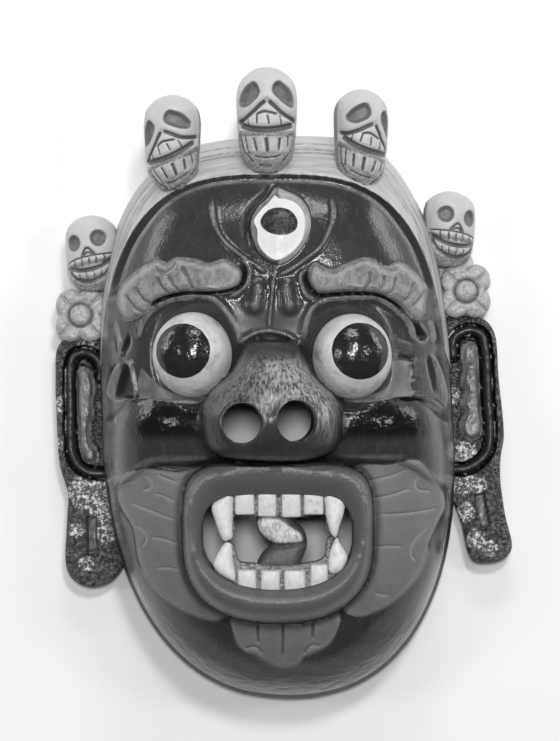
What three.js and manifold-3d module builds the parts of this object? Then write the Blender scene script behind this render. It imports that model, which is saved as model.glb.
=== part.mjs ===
// Carved wooden dance mask with a three-eyed wrathful face, lying on its flat back rim.
// Millimetres. +Z is out of the face, +Y is towards the crown, +X is the viewer's right.
import * as THREE from 'three'
import { mergeVertices } from 'three/addons/utils/BufferGeometryUtils.js'
import Module from 'manifold-3d'

const wasm = await Module()
wasm.setup()

// ---------------------------------------------------------------- driving sizes

const DEGREES = 180 / Math.PI
const GAP = 0.3 // clearance kept between neighbouring pieces
const TOLERANCE = 0.2 // slivers thinner than this are merged away after the cuts
const CENTRE = { x: -0.8, y: 3.5 } // moves the whole mask so its footprint is centred

// Head: a rounded shell over a superellipse outline
const FACE_X = -6.5
const FACE_Y = -38
const HALF_WIDTH = 117.2
const CROWN_REACH = 198
const CHIN_REACH = 172.5
const CROWN_SQUARE = 3.3
const CHIN_SQUARE = 2.3
const DOME_HEIGHT = 119
const DOME_POWER = 4.5
const WALL = 12
const HOLLOW_HEIGHT = 96
const JAW_SHIFT = 0.041 // the jaw leans sideways by this share of the drop below JAW_FROM
const JAW_FROM = 54
const HEAD_SEGMENTS = 40
const HOLLOW_SEGMENTS = 26
const HEAD_RINGS = [1, 0.995, 0.98, 0.95, 0.905, 0.85, 0.77, 0.66, 0.5, 0.3, 0]

// Groove between the face and the crown band
const GROOVE = { halfWidth: 112.5, reach: 170.7, square: 3, width: 3.6, depth: 5, endsAt: 36 }

// Eyes
const EYES = [
  { x: -57.1, y: 18.2, rx: 27.5, ry: 30 },
  { x: 44.1, y: 17.2, rx: 28, ry: 30 },
]
const EYE_LEVEL = 99
const EYE_BULGE = 29
const SOCKET = { rx: 36, ry: 37, depth: 26, level: 128 }
const THIRD_EYE = { x: -2.5, y: 97, rx: 15.5, ry: 19, level: 114, bulge: 10 }

// Nose, as ellipsoids [x, y, z, rx, ry, rz]
const NOSE_BLOBS = [
  [-6.8, 0, 104, 23, 27, 48],
  [-7.5, -22, 106, 28, 25, 57],
  [-33, -26, 106, 20.5, 22, 43],
  [17.5, -26, 106, 20.5, 22, 43],
]
const NOSE_ROOT = { x: -7.4, y: 27, z: 104, rx: 17, ry: 16, rz: 18 }
const NOSTRILS = [
  [-24.6, -24.2],
  [10.1, -22.6],
]
const NOSTRIL_RADIUS = 12.6

// Cheeks, as ellipsoids [x, y, z, rx, ry, rz]
const CHEEKS = [
  [-79, -31, 80, 33.5, 22, 45],
  [74, -28.5, 80, 35, 22, 45],
]

// Mouth
const LIPS = { x: -3.1, y: -100, rx: 60, ry: 50.5, square: 2.5, low: 92, high: 138 }
const MOUTH = { x: -3.1, y: -99.4, rx: 47.5, ry: 30.5, square: 3 }
const LIP_ROUND = 5
const LIP_STEPS = 32
const TEETH_LOW = 110
const TEETH_HIGH = 128
const TOOTH_GAP = 1.2
const UPPER_TEETH = { edges: [-31.1, -16.7, -2.9, 12.8, 26.6], tip: -83.5, root: -62 }
const LOWER_TEETH = { edges: [-29.2, -14.8, -0.3, 16, 28.5], tip: -115.8, root: -136 }
const FANGS = [
  [[-50, -64], [-31.6, -64], [-31.6, -98.2], [-36, -99.4], [-43.5, -82]],
  [[-50, -122], [-35.6, -98.8], [-31.6, -101.2], [-29.6, -132], [-40, -132]],
  [[27.2, -62], [44, -62], [38.6, -80], [34.4, -98.4], [32.6, -98.4], [27.4, -80]],
  [[28.8, -130], [28.8, -108], [33.6, -98], [40.4, -110], [46, -122]],
]
const TONGUE = [
  [-15.5, -122], [-16, -113.6], [-8.2, -102.6], [-16.2, -91], [-15, -82],
  [7, -82], [14.2, -94.8], [15.1, -100.6], [10.4, -112.6], [10, -122],
]

// Brows, whisker panels and chin beard: raised areas of the surface
const BROW_RISE = 5
const LEFT_BROW = [
  [-25.6, 70], [-36, 78.5], [-47.7, 76], [-57, 79.2], [-67.6, 79.7], [-73.6, 76.8],
  [-79.2, 79], [-89.3, 74.7], [-105, 61], [-105.4, 46.5], [-99.5, 39.5], [-88, 43.8],
  [-73.6, 54.5], [-58, 57.8], [-41.4, 55.8], [-29, 59],
]
const RIGHT_BROW = [
  [16.4, 66], [19.5, 76], [31.2, 72], [42, 76.6], [54, 79.8], [66.6, 74.5],
  [73, 78], [81.1, 74.7], [93, 62], [92, 50], [90.6, 41], [83, 40.8],
  [74.5, 49.4], [63.4, 55.1], [42, 57], [22, 57],
]
const WHISKER_RISE = 2.2
const LEFT_WHISKERS = [
  [-46, -54], [-66, -56], [-88, -54.5], [-101, -58.5], [-106.5, -69], [-103.5, -81],
  [-96, -93], [-92.5, -114], [-86.5, -126], [-74, -138], [-56, -147.5], [-36, -149],
  [-20, -110],
]
const RIGHT_WHISKERS = [
  [44, -53], [66, -51.5], [86, -49], [95.5, -60], [104, -71.5], [105, -80],
  [100, -90], [94, -102], [93, -109], [88.5, -120.5], [79, -132], [63.6, -143],
  [44, -147.5], [16, -110],
]
const BEARD = [
  [-34, -146], [-31, -160], [-25.5, -168.5], [-12, -170.5], [2.2, -182.5], [15, -172],
  [26, -168], [33.5, -158], [35, -146],
]

// Ridges: carved cords on the forehead and round the eyes
const RIDGE_RADIUS = 2.6
const RIDGES = [
  [[-44.7, 118], [-44.2, 104.5], [-39.4, 93.2], [-29.6, 83.4], [-16.4, 75], [-6, 66]],
  [[29.9, 120], [31.8, 104.5], [28, 93.2], [18.6, 82.4], [6.6, 75], [-3.5, 66]],
  [[-4.9, 68], [-5, 54], [-7.5, 38]],
  [[-88, 40], [-75, 53], [-57, 57.5], [-38, 51], [-28, 38], [-28, 24]],
  [[13, 24], [14, 40], [26, 52], [44, 56.5], [64, 51.5], [77, 38]],
]

// Skulls standing on the crown, placed by the foot of the jaw. turn is about the skull's own axis,
// roll tilts the carving on the front.
const CROWN_SKULLS = [
  { name: 'crown_skull_left', x: -70.9, y: 123.9, z: 76, turn: -0.43, roll: 0.27,
    width: 36.4, height: 62, depth: 34 },
  { name: 'crown_skull_centre', x: -10.1, y: 134.5, z: 80, turn: 0, roll: 0,
    width: 38.8, height: 69, depth: 35 },
  { name: 'crown_skull_right', x: 50.5, y: 125.2, z: 76, turn: 0.41, roll: -0.25,
    width: 35, height: 64.3, depth: 34 },
]

// Ear boards
const BOARD = { low: 4, high: 20 }
const EAR_ROUND = 1.6
const SIDE_SKULL = { width: 33, height: 45, depth: 30, level: 27 }
const ROSETTE = { lobe: 9.2, spread: 7.6, boss: 7, high: 30, bossHigh: 33 }
const LEFT_EAR = {
  board: [
    [-104, 28], [-122, 32], [-141, 30.5], [-149, 24], [-150.6, 4], [-150, -20], [-147.8, -54],
    [-142.4, -74], [-143, -92], [-143, -124], [-136, -133], [-126, -136], [-114, -132],
    [-106, -123], [-96, -100],
  ],
  strut: [[-126, 74], [-106, 74], [-100, 20], [-134, 20], [-134, 40]],
  helix: [
    [-120, 12], [-123, 21], [-131, 25], [-139, 22], [-143, 12], [-143.4, -20], [-142.6, -42],
    [-138, -57], [-128, -64], [-112, -66.5],
  ],
  inner: [[-136, 4], [-134, 10], [-128, 12], [-123, 8], [-122, -20], [-121, -44], [-127, -50],
    [-133, -45], [-135, -24]],
  slot: { x: -122.8, y: -101, width: 7, height: 22, turn: 0 },
  rosette: [-133.2, 45.2],
  skull: { x: -126.5, y: 64, turn: 0.1, roll: -0.08 },
}
const RIGHT_EAR = {
  board: [
    [98, 40], [112, 44], [133, 42.5], [140.4, 34], [143.6, 3], [147, -36], [145, -49],
    [144.7, -64], [147.7, -86.5], [152.2, -110], [147, -117], [137, -120], [126, -117.6],
    [118.5, -92], [112, -78], [96, -70],
  ],
  strut: [[124, 86], [100, 86], [100, 30], [128, 30], [130, 50]],
  helix: [
    [115, 14], [113, 20], [117, 28], [126, 33.5], [132.5, 28], [135.5, 10], [137.5, -18],
    [137.5, -44], [134, -54], [126, -59], [112, -60],
  ],
  inner: [[119, 14], [121, 24], [127, 25.5], [131, 18], [132, -14], [133.5, -34], [128, -41.5],
    [120.5, -39], [118.5, -30], [121, -14]],
  slot: { x: 132.6, y: -91, width: 7, height: 22, turn: 0.2 },
  rosette: [121.4, 60.8],
  skull: { x: 110.6, y: 79, turn: 0.05, roll: -0.1 },
}

// ---------------------------------------------------------------- helpers

// A closed surface as a solid; triangles that collapse at a pole are dropped.
function solid(geometry) {
  const bare = geometry.clone()
  bare.deleteAttribute('normal')
  bare.deleteAttribute('uv')
  const merged = mergeVertices(bare, 1e-4)
  const index = merged.index.array
  const kept = []
  for (let i = 0; i < index.length; i += 3) {
    const [a, b, c] = [index[i], index[i + 1], index[i + 2]]
    if (a !== b && b !== c && c !== a) kept.push(a, b, c)
  }
  const mesh = new wasm.Mesh({
    numProp: 3,
    vertProperties: merged.attributes.position.array,
    triVerts: new Uint32Array(kept),
  })
  return new wasm.Manifold(mesh)
}

function geometryOf(manifold) {
  const mesh = manifold.simplify(TOLERANCE).getMesh()
  const geometry = new THREE.BufferGeometry()
  const positions = new THREE.BufferAttribute(mesh.vertProperties, 3)
  geometry.setAttribute('position', positions)
  geometry.setIndex(new THREE.BufferAttribute(mesh.triVerts, 1))
  const flat = geometry.toNonIndexed()
  flat.computeVertexNormals()
  return flat
}

function joined(solids) {
  return solids.reduce((whole, next) => whole.add(next))
}

// Distance from the centre to a superellipse in the direction of an angle.
function superRadius(angle, halfX, halfY, square) {
  const across = Math.abs(Math.cos(angle)) / halfX
  const along = Math.abs(Math.sin(angle)) / halfY
  return 1 / Math.pow(Math.pow(across, square) + Math.pow(along, square), 1 / square)
}

function headRadius(angle, over) {
  const crown = Math.sin(angle) > 0
  const reach = (crown ? CROWN_REACH : CHIN_REACH) + over
  const square = crown ? CROWN_SQUARE : CHIN_SQUARE
  return superRadius(angle, HALF_WIDTH + over, reach, square)
}

function jawShift(y) {
  return JAW_SHIFT * Math.max(0, JAW_FROM - y)
}

function domeRise(share, height) {
  return height * Math.sqrt(Math.max(0, 1 - Math.pow(share, DOME_POWER)))
}

// Closed dome over the head outline, grown by `over`, standing on `floor`.
function dome(over, height, floor, segments = HEAD_SEGMENTS) {
  const profile = [new THREE.Vector2(0, 0)]
  HEAD_RINGS.forEach((share) => {
    profile.push(new THREE.Vector2(share, domeRise(share, 1)))
  })
  const geometry = new THREE.LatheGeometry(profile, segments)
  const at = geometry.attributes.position
  for (let i = 0; i < at.count; i += 1) {
    const across = at.getX(i)
    const along = -at.getZ(i)
    const share = Math.hypot(across, along)
    const angle = Math.atan2(along, across)
    const radius = share * headRadius(angle, over)
    const y = FACE_Y + radius * Math.sin(angle)
    const x = FACE_X + jawShift(y) + radius * Math.cos(angle)
    const rise = at.getY(i) * height
    at.setXYZ(i, x, y, rise > 0 ? rise : floor)
  }
  return solid(geometry)
}

// Height of the plain dome above a point of the face.
function domeAt(x, y) {
  const dx = x - FACE_X - jawShift(y)
  const dy = y - FACE_Y
  const share = Math.hypot(dx, dy) / headRadius(Math.atan2(dy, dx), 0)
  return domeRise(share, DOME_HEIGHT)
}

function ellipsoid(x, y, z, rx, ry, rz, around = 16, down = 10) {
  const ball = new THREE.SphereGeometry(1, around, down)
  ball.rotateX(Math.PI / 2)
  ball.scale(rx, ry, rz)
  ball.translate(x, y, z)
  return solid(ball)
}

function superPath(path, size, spare, steps) {
  for (let i = 0; i < steps; i += 1) {
    const angle = (i / steps) * 2 * Math.PI
    const radius = superRadius(angle, size.rx + spare, size.ry + spare, size.square)
    const x = size.x + radius * Math.cos(angle)
    const y = size.y + radius * Math.sin(angle)
    if (i === 0) path.moveTo(x, y)
    else path.lineTo(x, y)
  }
  return path
}

// Smooth closed outline through a few points.
function smoothShape(points, perSpan = 3) {
  const corners = points.map(([x, y]) => new THREE.Vector3(x, y, 0))
  const curve = new THREE.CatmullRomCurve3(corners, true, 'centripetal')
  return new THREE.Shape(curve.getPoints(points.length * perSpan).slice(0, -1)
    .map((p) => new THREE.Vector2(p.x, p.y)))
}

function straightShape(points) {
  return new THREE.Shape(points.map(([x, y]) => new THREE.Vector2(x, y)))
}

function prism(shape, low, high, round = 0) {
  const geometry = new THREE.ExtrudeGeometry(shape, {
    depth: high - low - 2 * round,
    steps: 1,
    curveSegments: 12,
    bevelEnabled: round > 0,
    bevelThickness: round,
    bevelSize: round,
    bevelOffset: -round,
    bevelSegments: 1,
  })
  geometry.translate(0, 0, low + round)
  return solid(geometry)
}

// Round cord along an open curve.
function cord(points, radius, perSpan = 2, sides = 4) {
  const curve = new THREE.CatmullRomCurve3(points.map((p) => new THREE.Vector3(...p)))
  const section = new THREE.Shape()
  section.absarc(0, 0, radius, 0, 2 * Math.PI)
  const geometry = new THREE.ExtrudeGeometry(section, {
    steps: (points.length - 1) * perSpan,
    curveSegments: sides / 2,
    extrudePath: curve,
  })
  return solid(geometry)
}

function mesh(name, manifold, colour, roughness) {
  const material = new THREE.MeshStandardMaterial({ color: colour, roughness, metalness: 0 })
  const made = new THREE.Mesh(geometryOf(manifold), material)
  made.name = name
  return made
}

// ---------------------------------------------------------------- skulls

// Bullet-shaped skull, foot of the jaw at the origin, crown along +Y.
function skull({ width, height, depth, turn, roll }) {
  const w = width / 2
  const profile = [
    [0, 0], [0.5, 0.005], [0.76, 0.06], [0.93, 0.26], [1, 0.55],
    [0.97, 0.75], [0.82, 0.9], [0.48, 0.98], [0, 1],
  ]
  const points = profile.map(([r, h]) => new THREE.Vector2(r * w, h * height))
  const body = new THREE.LatheGeometry(points, 12)
  body.scale(1, 1, depth / width)
  const front = depth / 2
  const socket = (side) => {
    const tilt = new THREE.SphereGeometry(1, 8, 5)
    tilt.scale(w * 0.33, height * 0.135, depth * 0.2)
    tilt.rotateZ(side * 0.35)
    tilt.translate(side * w * 0.46, height * 0.72, front * 0.88)
    return solid(tilt)
  }
  const noseCut = prism(straightShape([
    [0, height * 0.67], [w * 0.9, height * 0.5], [w * 0.9, height * 0.47],
    [w * 0.2, height * 0.54], [-w * 0.2, height * 0.54],
    [-w * 0.9, height * 0.47], [-w * 0.9, height * 0.5],
  ]), front * 0.78, front * 1.3)
  const mouthCut = new THREE.BoxGeometry(width * 1.2, height * 0.035, depth * 0.3)
  mouthCut.translate(0, height * 0.395, front * 0.98)
  const toothCuts = []
  for (const x of [-0.42, 0, 0.42]) {
    const cut = new THREE.BoxGeometry(width * 0.04, height * 0.24, depth * 0.2)
    cut.translate(x * w, height * 0.37, front * 0.98)
    toothCuts.push(solid(cut))
  }
  const cuts = joined([socket(-1), socket(1), noseCut, solid(mouthCut), ...toothCuts])
  const middle = height * 0.5
  return solid(body).subtract(cuts
    .translate([0, -middle, 0])
    .rotate([0, 0, roll * DEGREES])
    .translate([0, middle, 0])
    .rotate([0, turn * DEGREES, 0]))
}

// ---------------------------------------------------------------- head

const outer = dome(0, DOME_HEIGHT, 0)
const outside = dome(GAP, DOME_HEIGHT + GAP, -1)

function skin(rise) {
  return dome(rise, DOME_HEIGHT + rise, 0)
}

function hollow() {
  const shell = dome(-WALL, HOLLOW_HEIGHT, -1, HOLLOW_SEGMENTS)
  const foreheadScoop = ellipsoid(FACE_X, 82, 64, 66, 46, 41)
  const mouthScoop = ellipsoid(LIPS.x, -96, 66, 62, 50, 42)
  const noseScoop = ellipsoid(-7.4, -16, 78, 33, 34, 56)
  return joined([shell, foreheadScoop, mouthScoop, noseScoop])
}

function bandGroove() {
  const { halfWidth, reach, square, width, depth, endsAt } = GROOVE
  const size = { x: FACE_X, y: FACE_Y, rx: halfWidth, ry: reach, square }
  const ring = superPath(new THREE.Shape(), size, width / 2, 60)
  ring.holes.push(superPath(new THREE.Path(), size, -width / 2, 60))
  const below = dome(-depth, DOME_HEIGHT - depth, -1)
  const top = new THREE.BoxGeometry(400, 300, 400)
  top.translate(FACE_X, endsAt + 150, 0)
  return prism(ring, 0, 160).intersect(solid(top)).subtract(below)
}

function face() {
  let body = outer
  EYES.forEach(({ x, y }) => {
    const { rx, ry, depth, level } = SOCKET
    body = body.subtract(ellipsoid(x, y, level, rx, ry, depth))
  })
  body = body.subtract(bandGroove())
  const raised = skin(BROW_RISE)
  const brows = [LEFT_BROW, RIGHT_BROW].map((outline) =>
    prism(smoothShape(outline, 2), 40, 150).intersect(raised))
  const low = skin(WHISKER_RISE)
  const hair = [LEFT_WHISKERS, RIGHT_WHISKERS, BEARD].map((outline) =>
    prism(smoothShape(outline, 2), 40, 150).intersect(low))
  const cords = RIDGES.map((points) =>
    cord(points.map(([x, y]) => [x, y, domeAt(x, y)]), RIDGE_RADIUS))
  const eyeballs = EYES.map(({ x, y, rx, ry }) =>
    ellipsoid(x, y, EYE_LEVEL, rx, ry, EYE_BULGE))
  const third = ellipsoid(THIRD_EYE.x, THIRD_EYE.y, THIRD_EYE.level,
    THIRD_EYE.rx, THIRD_EYE.ry, THIRD_EYE.bulge)
  const nose = NOSE_BLOBS.map((blob) => ellipsoid(...blob))
  const { x, y, z, rx, ry, rz } = NOSE_ROOT
  nose.push(ellipsoid(x, y, z, rx, ry, rz))
  const cheeks = CHEEKS.map((cheek) => ellipsoid(...cheek))
  return joined([body, ...brows, ...hair, ...cords, ...eyeballs, third, ...nose, ...cheeks])
}

function lips() {
  const ring = superPath(new THREE.Shape(), LIPS, 0, LIP_STEPS)
  ring.holes.push(superPath(new THREE.Path(), MOUTH, 0, LIP_STEPS))
  return prism(ring, LIPS.low, LIPS.high, LIP_ROUND)
}

function teeth() {
  const parts = []
  for (const { edges, tip, root } of [UPPER_TEETH, LOWER_TEETH]) {
    for (let i = 0; i + 1 < edges.length; i += 1) {
      const width = edges[i + 1] - edges[i] - TOOTH_GAP
      const tall = Math.abs(root - tip)
      const tooth = new THREE.BoxGeometry(width, tall, TEETH_HIGH - TEETH_LOW)
      const middle = (TEETH_HIGH + TEETH_LOW) / 2
      tooth.translate((edges[i] + edges[i + 1]) / 2, (root + tip) / 2, middle)
      parts.push(solid(tooth))
    }
  }
  FANGS.forEach((outline) => {
    parts.push(prism(straightShape(outline), TEETH_LOW, TEETH_HIGH + 1))
  })
  return joined(parts)
}

function head() {
  const mouthHole = prism(superPath(new THREE.Shape(), MOUTH, 0, LIP_STEPS), -1, 160)
  const lipBlock = prism(superPath(new THREE.Shape(), LIPS, -1, LIP_STEPS), 60, LIPS.low + 12)
  const nostrilHoles = NOSTRILS.map(([x, y]) => {
    const hole = new THREE.CylinderGeometry(NOSTRIL_RADIUS, NOSTRIL_RADIUS, 140, 20)
    hole.rotateX(Math.PI / 2)
    hole.translate(x, y, 120)
    return solid(hole)
  })
  const tongue = prism(straightShape(TONGUE), 100, 122)
  return face()
    .add(lipBlock)
    .add(lips())
    .subtract(hollow())
    .subtract(mouthHole)
    .subtract(joined(nostrilHoles))
    .add(teeth())
    .add(tongue)
}

// ---------------------------------------------------------------- ears

function rosette([x, y]) {
  const { lobe, spread, boss, high, bossHigh } = ROSETTE
  const parts = []
  for (let i = 0; i < 4; i += 1) {
    const angle = (i + 0.5) * (Math.PI / 2)
    const petal = new THREE.CylinderGeometry(lobe - 1.5, lobe, high - BOARD.low, 12)
    petal.rotateX(Math.PI / 2)
    const px = x + spread * Math.cos(angle)
    const py = y + spread * Math.sin(angle)
    petal.translate(px, py, (high + BOARD.low) / 2)
    parts.push(solid(petal))
  }
  const button = new THREE.CylinderGeometry(boss - 1, boss, bossHigh - high + 4, 16)
  button.rotateX(Math.PI / 2)
  button.translate(x, y, (bossHigh + high) / 2 - 2)
  parts.push(solid(button))
  return joined(parts)
}

function ear({ board, strut, helix, inner, slot, rosette: flower, skull: cap }) {
  const plate = prism(smoothShape(board, 2), BOARD.low, BOARD.high, EAR_ROUND)
  const channel = cord(helix.map(([x, y]) => [x, y, BOARD.high + 1]), 5.2, 2, 6)
  const tube = cord(helix.map(([x, y]) => [x, y, BOARD.high - 3]), 3.4, 2, 6)
  const strip = prism(smoothShape(inner, 2), BOARD.high - 3, BOARD.high + 2.5)
  const pocket = new THREE.BoxGeometry(slot.width, slot.height, 8)
  pocket.rotateZ(slot.turn)
  pocket.translate(slot.x, slot.y, BOARD.high)
  const back = prism(straightShape(strut), BOARD.low, BOARD.high - 4)
  const top = skull({ ...SIDE_SKULL, ...cap }).translate([cap.x, cap.y, SIDE_SKULL.level])
  return plate
    .subtract(channel)
    .add(tube)
    .add(strip)
    .subtract(solid(pocket))
    .add(back)
    .add(rosette(flower))
    .add(top)
    .subtract(outside)
}

// ---------------------------------------------------------------- the pieces

const group = new THREE.Group()
group.name = 'mask'

group.add(mesh('head', head(), '#2b2a29', 0.3))
CROWN_SKULLS.forEach((size) => {
  const made = skull(size).translate([size.x, size.y, size.z]).subtract(outside)
  group.add(mesh(size.name, made, '#d8d6d0', 0.6))
})
group.add(mesh('ear_left', ear(LEFT_EAR), '#2f2e2d', 0.4))
group.add(mesh('ear_right', ear(RIGHT_EAR), '#2f2e2d', 0.4))
group.position.set(CENTRE.x, CENTRE.y, 0)

export default group
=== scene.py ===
import math

import bmesh
import bpy
import numpy as np
from mathutils import Matrix, Vector, noise


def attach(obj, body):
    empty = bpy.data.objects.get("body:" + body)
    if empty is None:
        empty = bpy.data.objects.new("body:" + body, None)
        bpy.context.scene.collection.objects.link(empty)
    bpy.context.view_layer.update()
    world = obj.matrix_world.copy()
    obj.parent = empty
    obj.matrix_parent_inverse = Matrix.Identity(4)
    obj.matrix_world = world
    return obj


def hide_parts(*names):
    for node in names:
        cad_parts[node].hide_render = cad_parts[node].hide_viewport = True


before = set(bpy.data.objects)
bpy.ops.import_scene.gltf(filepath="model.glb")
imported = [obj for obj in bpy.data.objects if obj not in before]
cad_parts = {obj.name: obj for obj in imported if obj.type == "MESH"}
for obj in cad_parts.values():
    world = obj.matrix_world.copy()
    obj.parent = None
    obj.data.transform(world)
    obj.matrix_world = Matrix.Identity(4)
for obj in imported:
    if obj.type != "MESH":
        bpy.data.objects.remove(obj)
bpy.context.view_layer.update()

# The carving is laid out in millimetres on the carver's own axes: +X to the viewer's right,
# +Y to the crown, +Z out of the face. A finished piece is moved to the mask's middle and scaled
# to metres.
MM = 0.001
MIDDLE = (-0.8, 3.5)

# ------------------------------------------------------------------ head sizes, millimetres

# The face is a dome on a squared oval: its middle, half width, and reach and squareness each way.
FACE_X, FACE_Y = -6.5, -38.0
HALF_WIDTH = 117.2
CROWN_REACH, CROWN_SQUARE = 198.0, 3.3
CHIN_REACH, CHIN_SQUARE = 172.5, 2.3
DOME_HEIGHT, DOME_POWER = 119.0, 4.5
WALL, HOLLOW_HEIGHT = 12.0, 96.0
# The crown's edge rises a little over its middle, between these turns from +X, in radians.
CREST_RISE, CREST_TILT = 4.2, 8.0
CREST_RIGHT, CREST_LEFT = (1.02, 1.3), (2.1, 1.86)
# The jaw leans sideways by a share of the drop below a level.
JAW_SHIFT, JAW_FROM = 0.041, 54.0
HEAD_GRID, RELAX_ROUNDS = (144, 220), 14
HOLLOW_GRID = (60, 90)
# Reach of the finer mesh beside crisp lines, and of the finest beside the finest cuts.
FINE_REACH, FINEST_REACH = 2.4, 1.2

# Middles, half sizes and levels of the eyeballs and their sockets; pupils as middle and radius.
EYE_LEFT = (-57.1, 18.2)
EYE_RIGHT = (44.1, 17.2)
EYEBALL = (26.8, 29.1, 29.0)
EYE_LEVEL = 99.0
SOCKET = (36.0, 37.0, 26.0)
SOCKET_LEVEL, SOCKET_SLOPE = 128.0, 40.0
PUPILS = ((-62.7, 20.5, 17.2), (49.0, 20.3, 17.9))

# The nose's two sides as (y, x) and its height down the middle as (y, height).
NOSE_LEFT = ((-49.2, -8), (-48.3, -23.6), (-46.8, -37), (-41.8, -46.1), (-33.6, -50.2),
             (-22.9, -51.3), (-12.9, -50.2), (-5.4, -46.4), (0.3, -40.6), (7.2, -33), (14.7, -28.6),
             (21, -25.5), (27, -22))
NOSE_RIGHT = ((-49.2, 8), (-47.8, 21), (-43.5, 30), (-35.5, 35.6), (-25.5, 37.4), (-15.4, 36.7),
              (-7.9, 33.5), (-1.6, 27.3), (5.3, 20.4), (12.8, 16), (19.7, 12.4), (27, 8))
NOSE_PROFILE = ((-49.4, 130), (-48.4, 141), (-45.5, 149), (-40, 155), (-32, 158.6), (-24, 159.4),
                (-16, 158.8), (-8, 157.4), (0, 155), (8, 151.4), (16, 146), (22, 138.5),
                (25.5, 129), (27, 119))
NOSE_FOOT, NOSE_BRIDGE = -49.2, 27.0
NOSTRILS = ((-24.6, -24.2), (10.1, -22.6))
NOSTRIL_RADIUS = 12.6
NOSTRIL_LEANS = (-3.0, -7.0)
# Middle, half width, reach up and down, and how square the upper and lower halves are.
LIPS = (-2.9, -99.8, 60.2, 50.2, 52.0, 5.0, 2.45)
MOUTH = (-3.2, -99.4, 47.5, 29.8, 30.0, 3.8, 2.2)
LIP_TOP, LIP_HEIGHT = 138.0, 32.0
CHEEK_RISE = 11.0
# Scoops inside the hollow for the forehead, the mouth and the nose: middle, level and reach.
SCOOPS = ((FACE_X, 82, 64, 66, 46, 41), (LIPS[0], -96, 66, 62, 50, 42), (-7.4, -16, 78, 33, 34, 56))

BROWS = (
    ((-25.6, 70), (-36, 78.5), (-47.7, 76), (-57, 79.2), (-67.6, 79.7), (-73.6, 76.8),
     (-79.2, 79), (-89.3, 74.7), (-105, 61), (-105.4, 46.5), (-99.5, 39.5), (-88, 43.8),
     (-73.6, 54.5), (-58, 57.8), (-41.4, 55.8), (-29, 59)),
    ((16.4, 66), (19.5, 76), (31.2, 72), (42, 76.6), (54, 79.8), (66.6, 74.5),
     (73, 78), (81.1, 74.7), (93, 62), (92, 50), (90.6, 41), (83, 40.8),
     (74.5, 49.4), (63.4, 55.1), (42, 57), (22, 57)),
)
WHISKERS = (
    ((-46, -54), (-66, -56), (-88, -54.5), (-101, -58.5), (-106.5, -69), (-103.5, -81),
     (-96, -93), (-92.5, -114), (-86.5, -126), (-74, -138), (-56, -147.5), (-36, -149),
     (-20, -110)),
    ((44, -53), (66, -51.5), (86, -49), (95.5, -60), (104, -71.5), (105, -80),
     (100, -90), (94, -102), (93, -109), (88.5, -120.5), (79, -132), (63.6, -143),
     (44, -147.5), (16, -110)),
)
BEARD = ((-32.8, -146), (-31.7, -156.9), (-28.6, -165.4), (-24.4, -170.3), (-17.3, -172.4),
         (-11.7, -176.4), (-5.4, -179.7), (1.7, -180.9), (9.4, -179.2), (13.9, -173.8),
         (20.7, -170.7), (28.4, -166.8), (34.1, -158.4), (35.9, -146))
GROOVE = (112.5, 170.7, 170.7, 3.0, 3.0)
# The groove fades between these heights, and a line runs round the jaw at a share of the reach.
GROOVE_END = (54, 66)
RIM_LINE = 0.976
# Distances of the lines cut along the crown band, in the grain's own measure.
CROWN_LINES = (138.4, 140.3, 143.5)
GRAIN_REACH = 150
# The grid that wear is worked out on, and the height below which the wall shows none.
RELIEF_STEP = 0.8
RELIEF_X, RELIEF_Y, RELIEF_FLOOR = (-126, 128), (-218, 170), 20
# Past this share of the reach the head is outer wall, painted down to the rim.
OUTER_WALL = 0.965

# ------------------------------------------------------------------ lines and outlines


def smooth_path(points, closed=False, step=1.5):
    """A smooth line through a few points, as many short straight steps."""
    p = np.array(points, float)
    if closed:
        p = np.vstack([p[-1], p, p[0], p[1]])
    else:
        p = np.vstack([2 * p[0] - p[1], p, 2 * p[-1] - p[-2]])
    out = []
    for i in range(1, len(p) - 2):
        a, b, c, d = p[i - 1:i + 3]
        t0 = 0.0
        t1 = t0 + math.sqrt(np.linalg.norm(b - a))
        t2 = t1 + math.sqrt(np.linalg.norm(c - b))
        t3 = t2 + math.sqrt(np.linalg.norm(d - c))
        count = max(2, int(math.ceil(np.linalg.norm(c - b) / step)))
        t = np.linspace(t1, t2, count, endpoint=False)[:, None]
        ab = (t1 - t) / (t1 - t0) * a + (t - t0) / (t1 - t0) * b
        bc = (t2 - t) / (t2 - t1) * b + (t - t1) / (t2 - t1) * c
        cd = (t3 - t) / (t3 - t2) * c + (t - t2) / (t3 - t2) * d
        abc = (t2 - t) / (t2 - t0) * ab + (t - t0) / (t2 - t0) * bc
        bcd = (t3 - t) / (t3 - t1) * bc + (t - t1) / (t3 - t1) * cd
        out.append((t2 - t) / (t2 - t1) * abc + (t - t1) / (t2 - t1) * bcd)
    out.append(p[-2][None] if not closed else p[1][None])
    return np.vstack(out)


def near(x, y, path, reach):
    """Distance to a path, up to reach, and the share of the path passed at its nearest point."""
    low, high = path.min(0) - reach, path.max(0) + reach
    pick = np.flatnonzero((x > low[0]) & (x < high[0]) & (y > low[1]) & (y < high[1]))
    away = np.full(x.shape, float(reach))
    share = np.zeros(x.shape)
    start, run = path[:-1], np.diff(path, axis=0)
    length = np.maximum((run ** 2).sum(1), 1e-9)
    for part in np.array_split(pick, max(1, len(pick) * len(run) // 2000000 + 1)):
        dx = x[part, None] - start[:, 0]
        dy = y[part, None] - start[:, 1]
        t = np.clip((dx * run[:, 0] + dy * run[:, 1]) / length, 0, 1)
        gap = np.hypot(dx - t * run[:, 0], dy - t * run[:, 1])
        best = gap.argmin(1)
        row = np.arange(len(part))
        away[part] = np.minimum(gap[row, best], reach)
        share[part] = (best + t[row, best]) / len(run)
    return away, share


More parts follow.
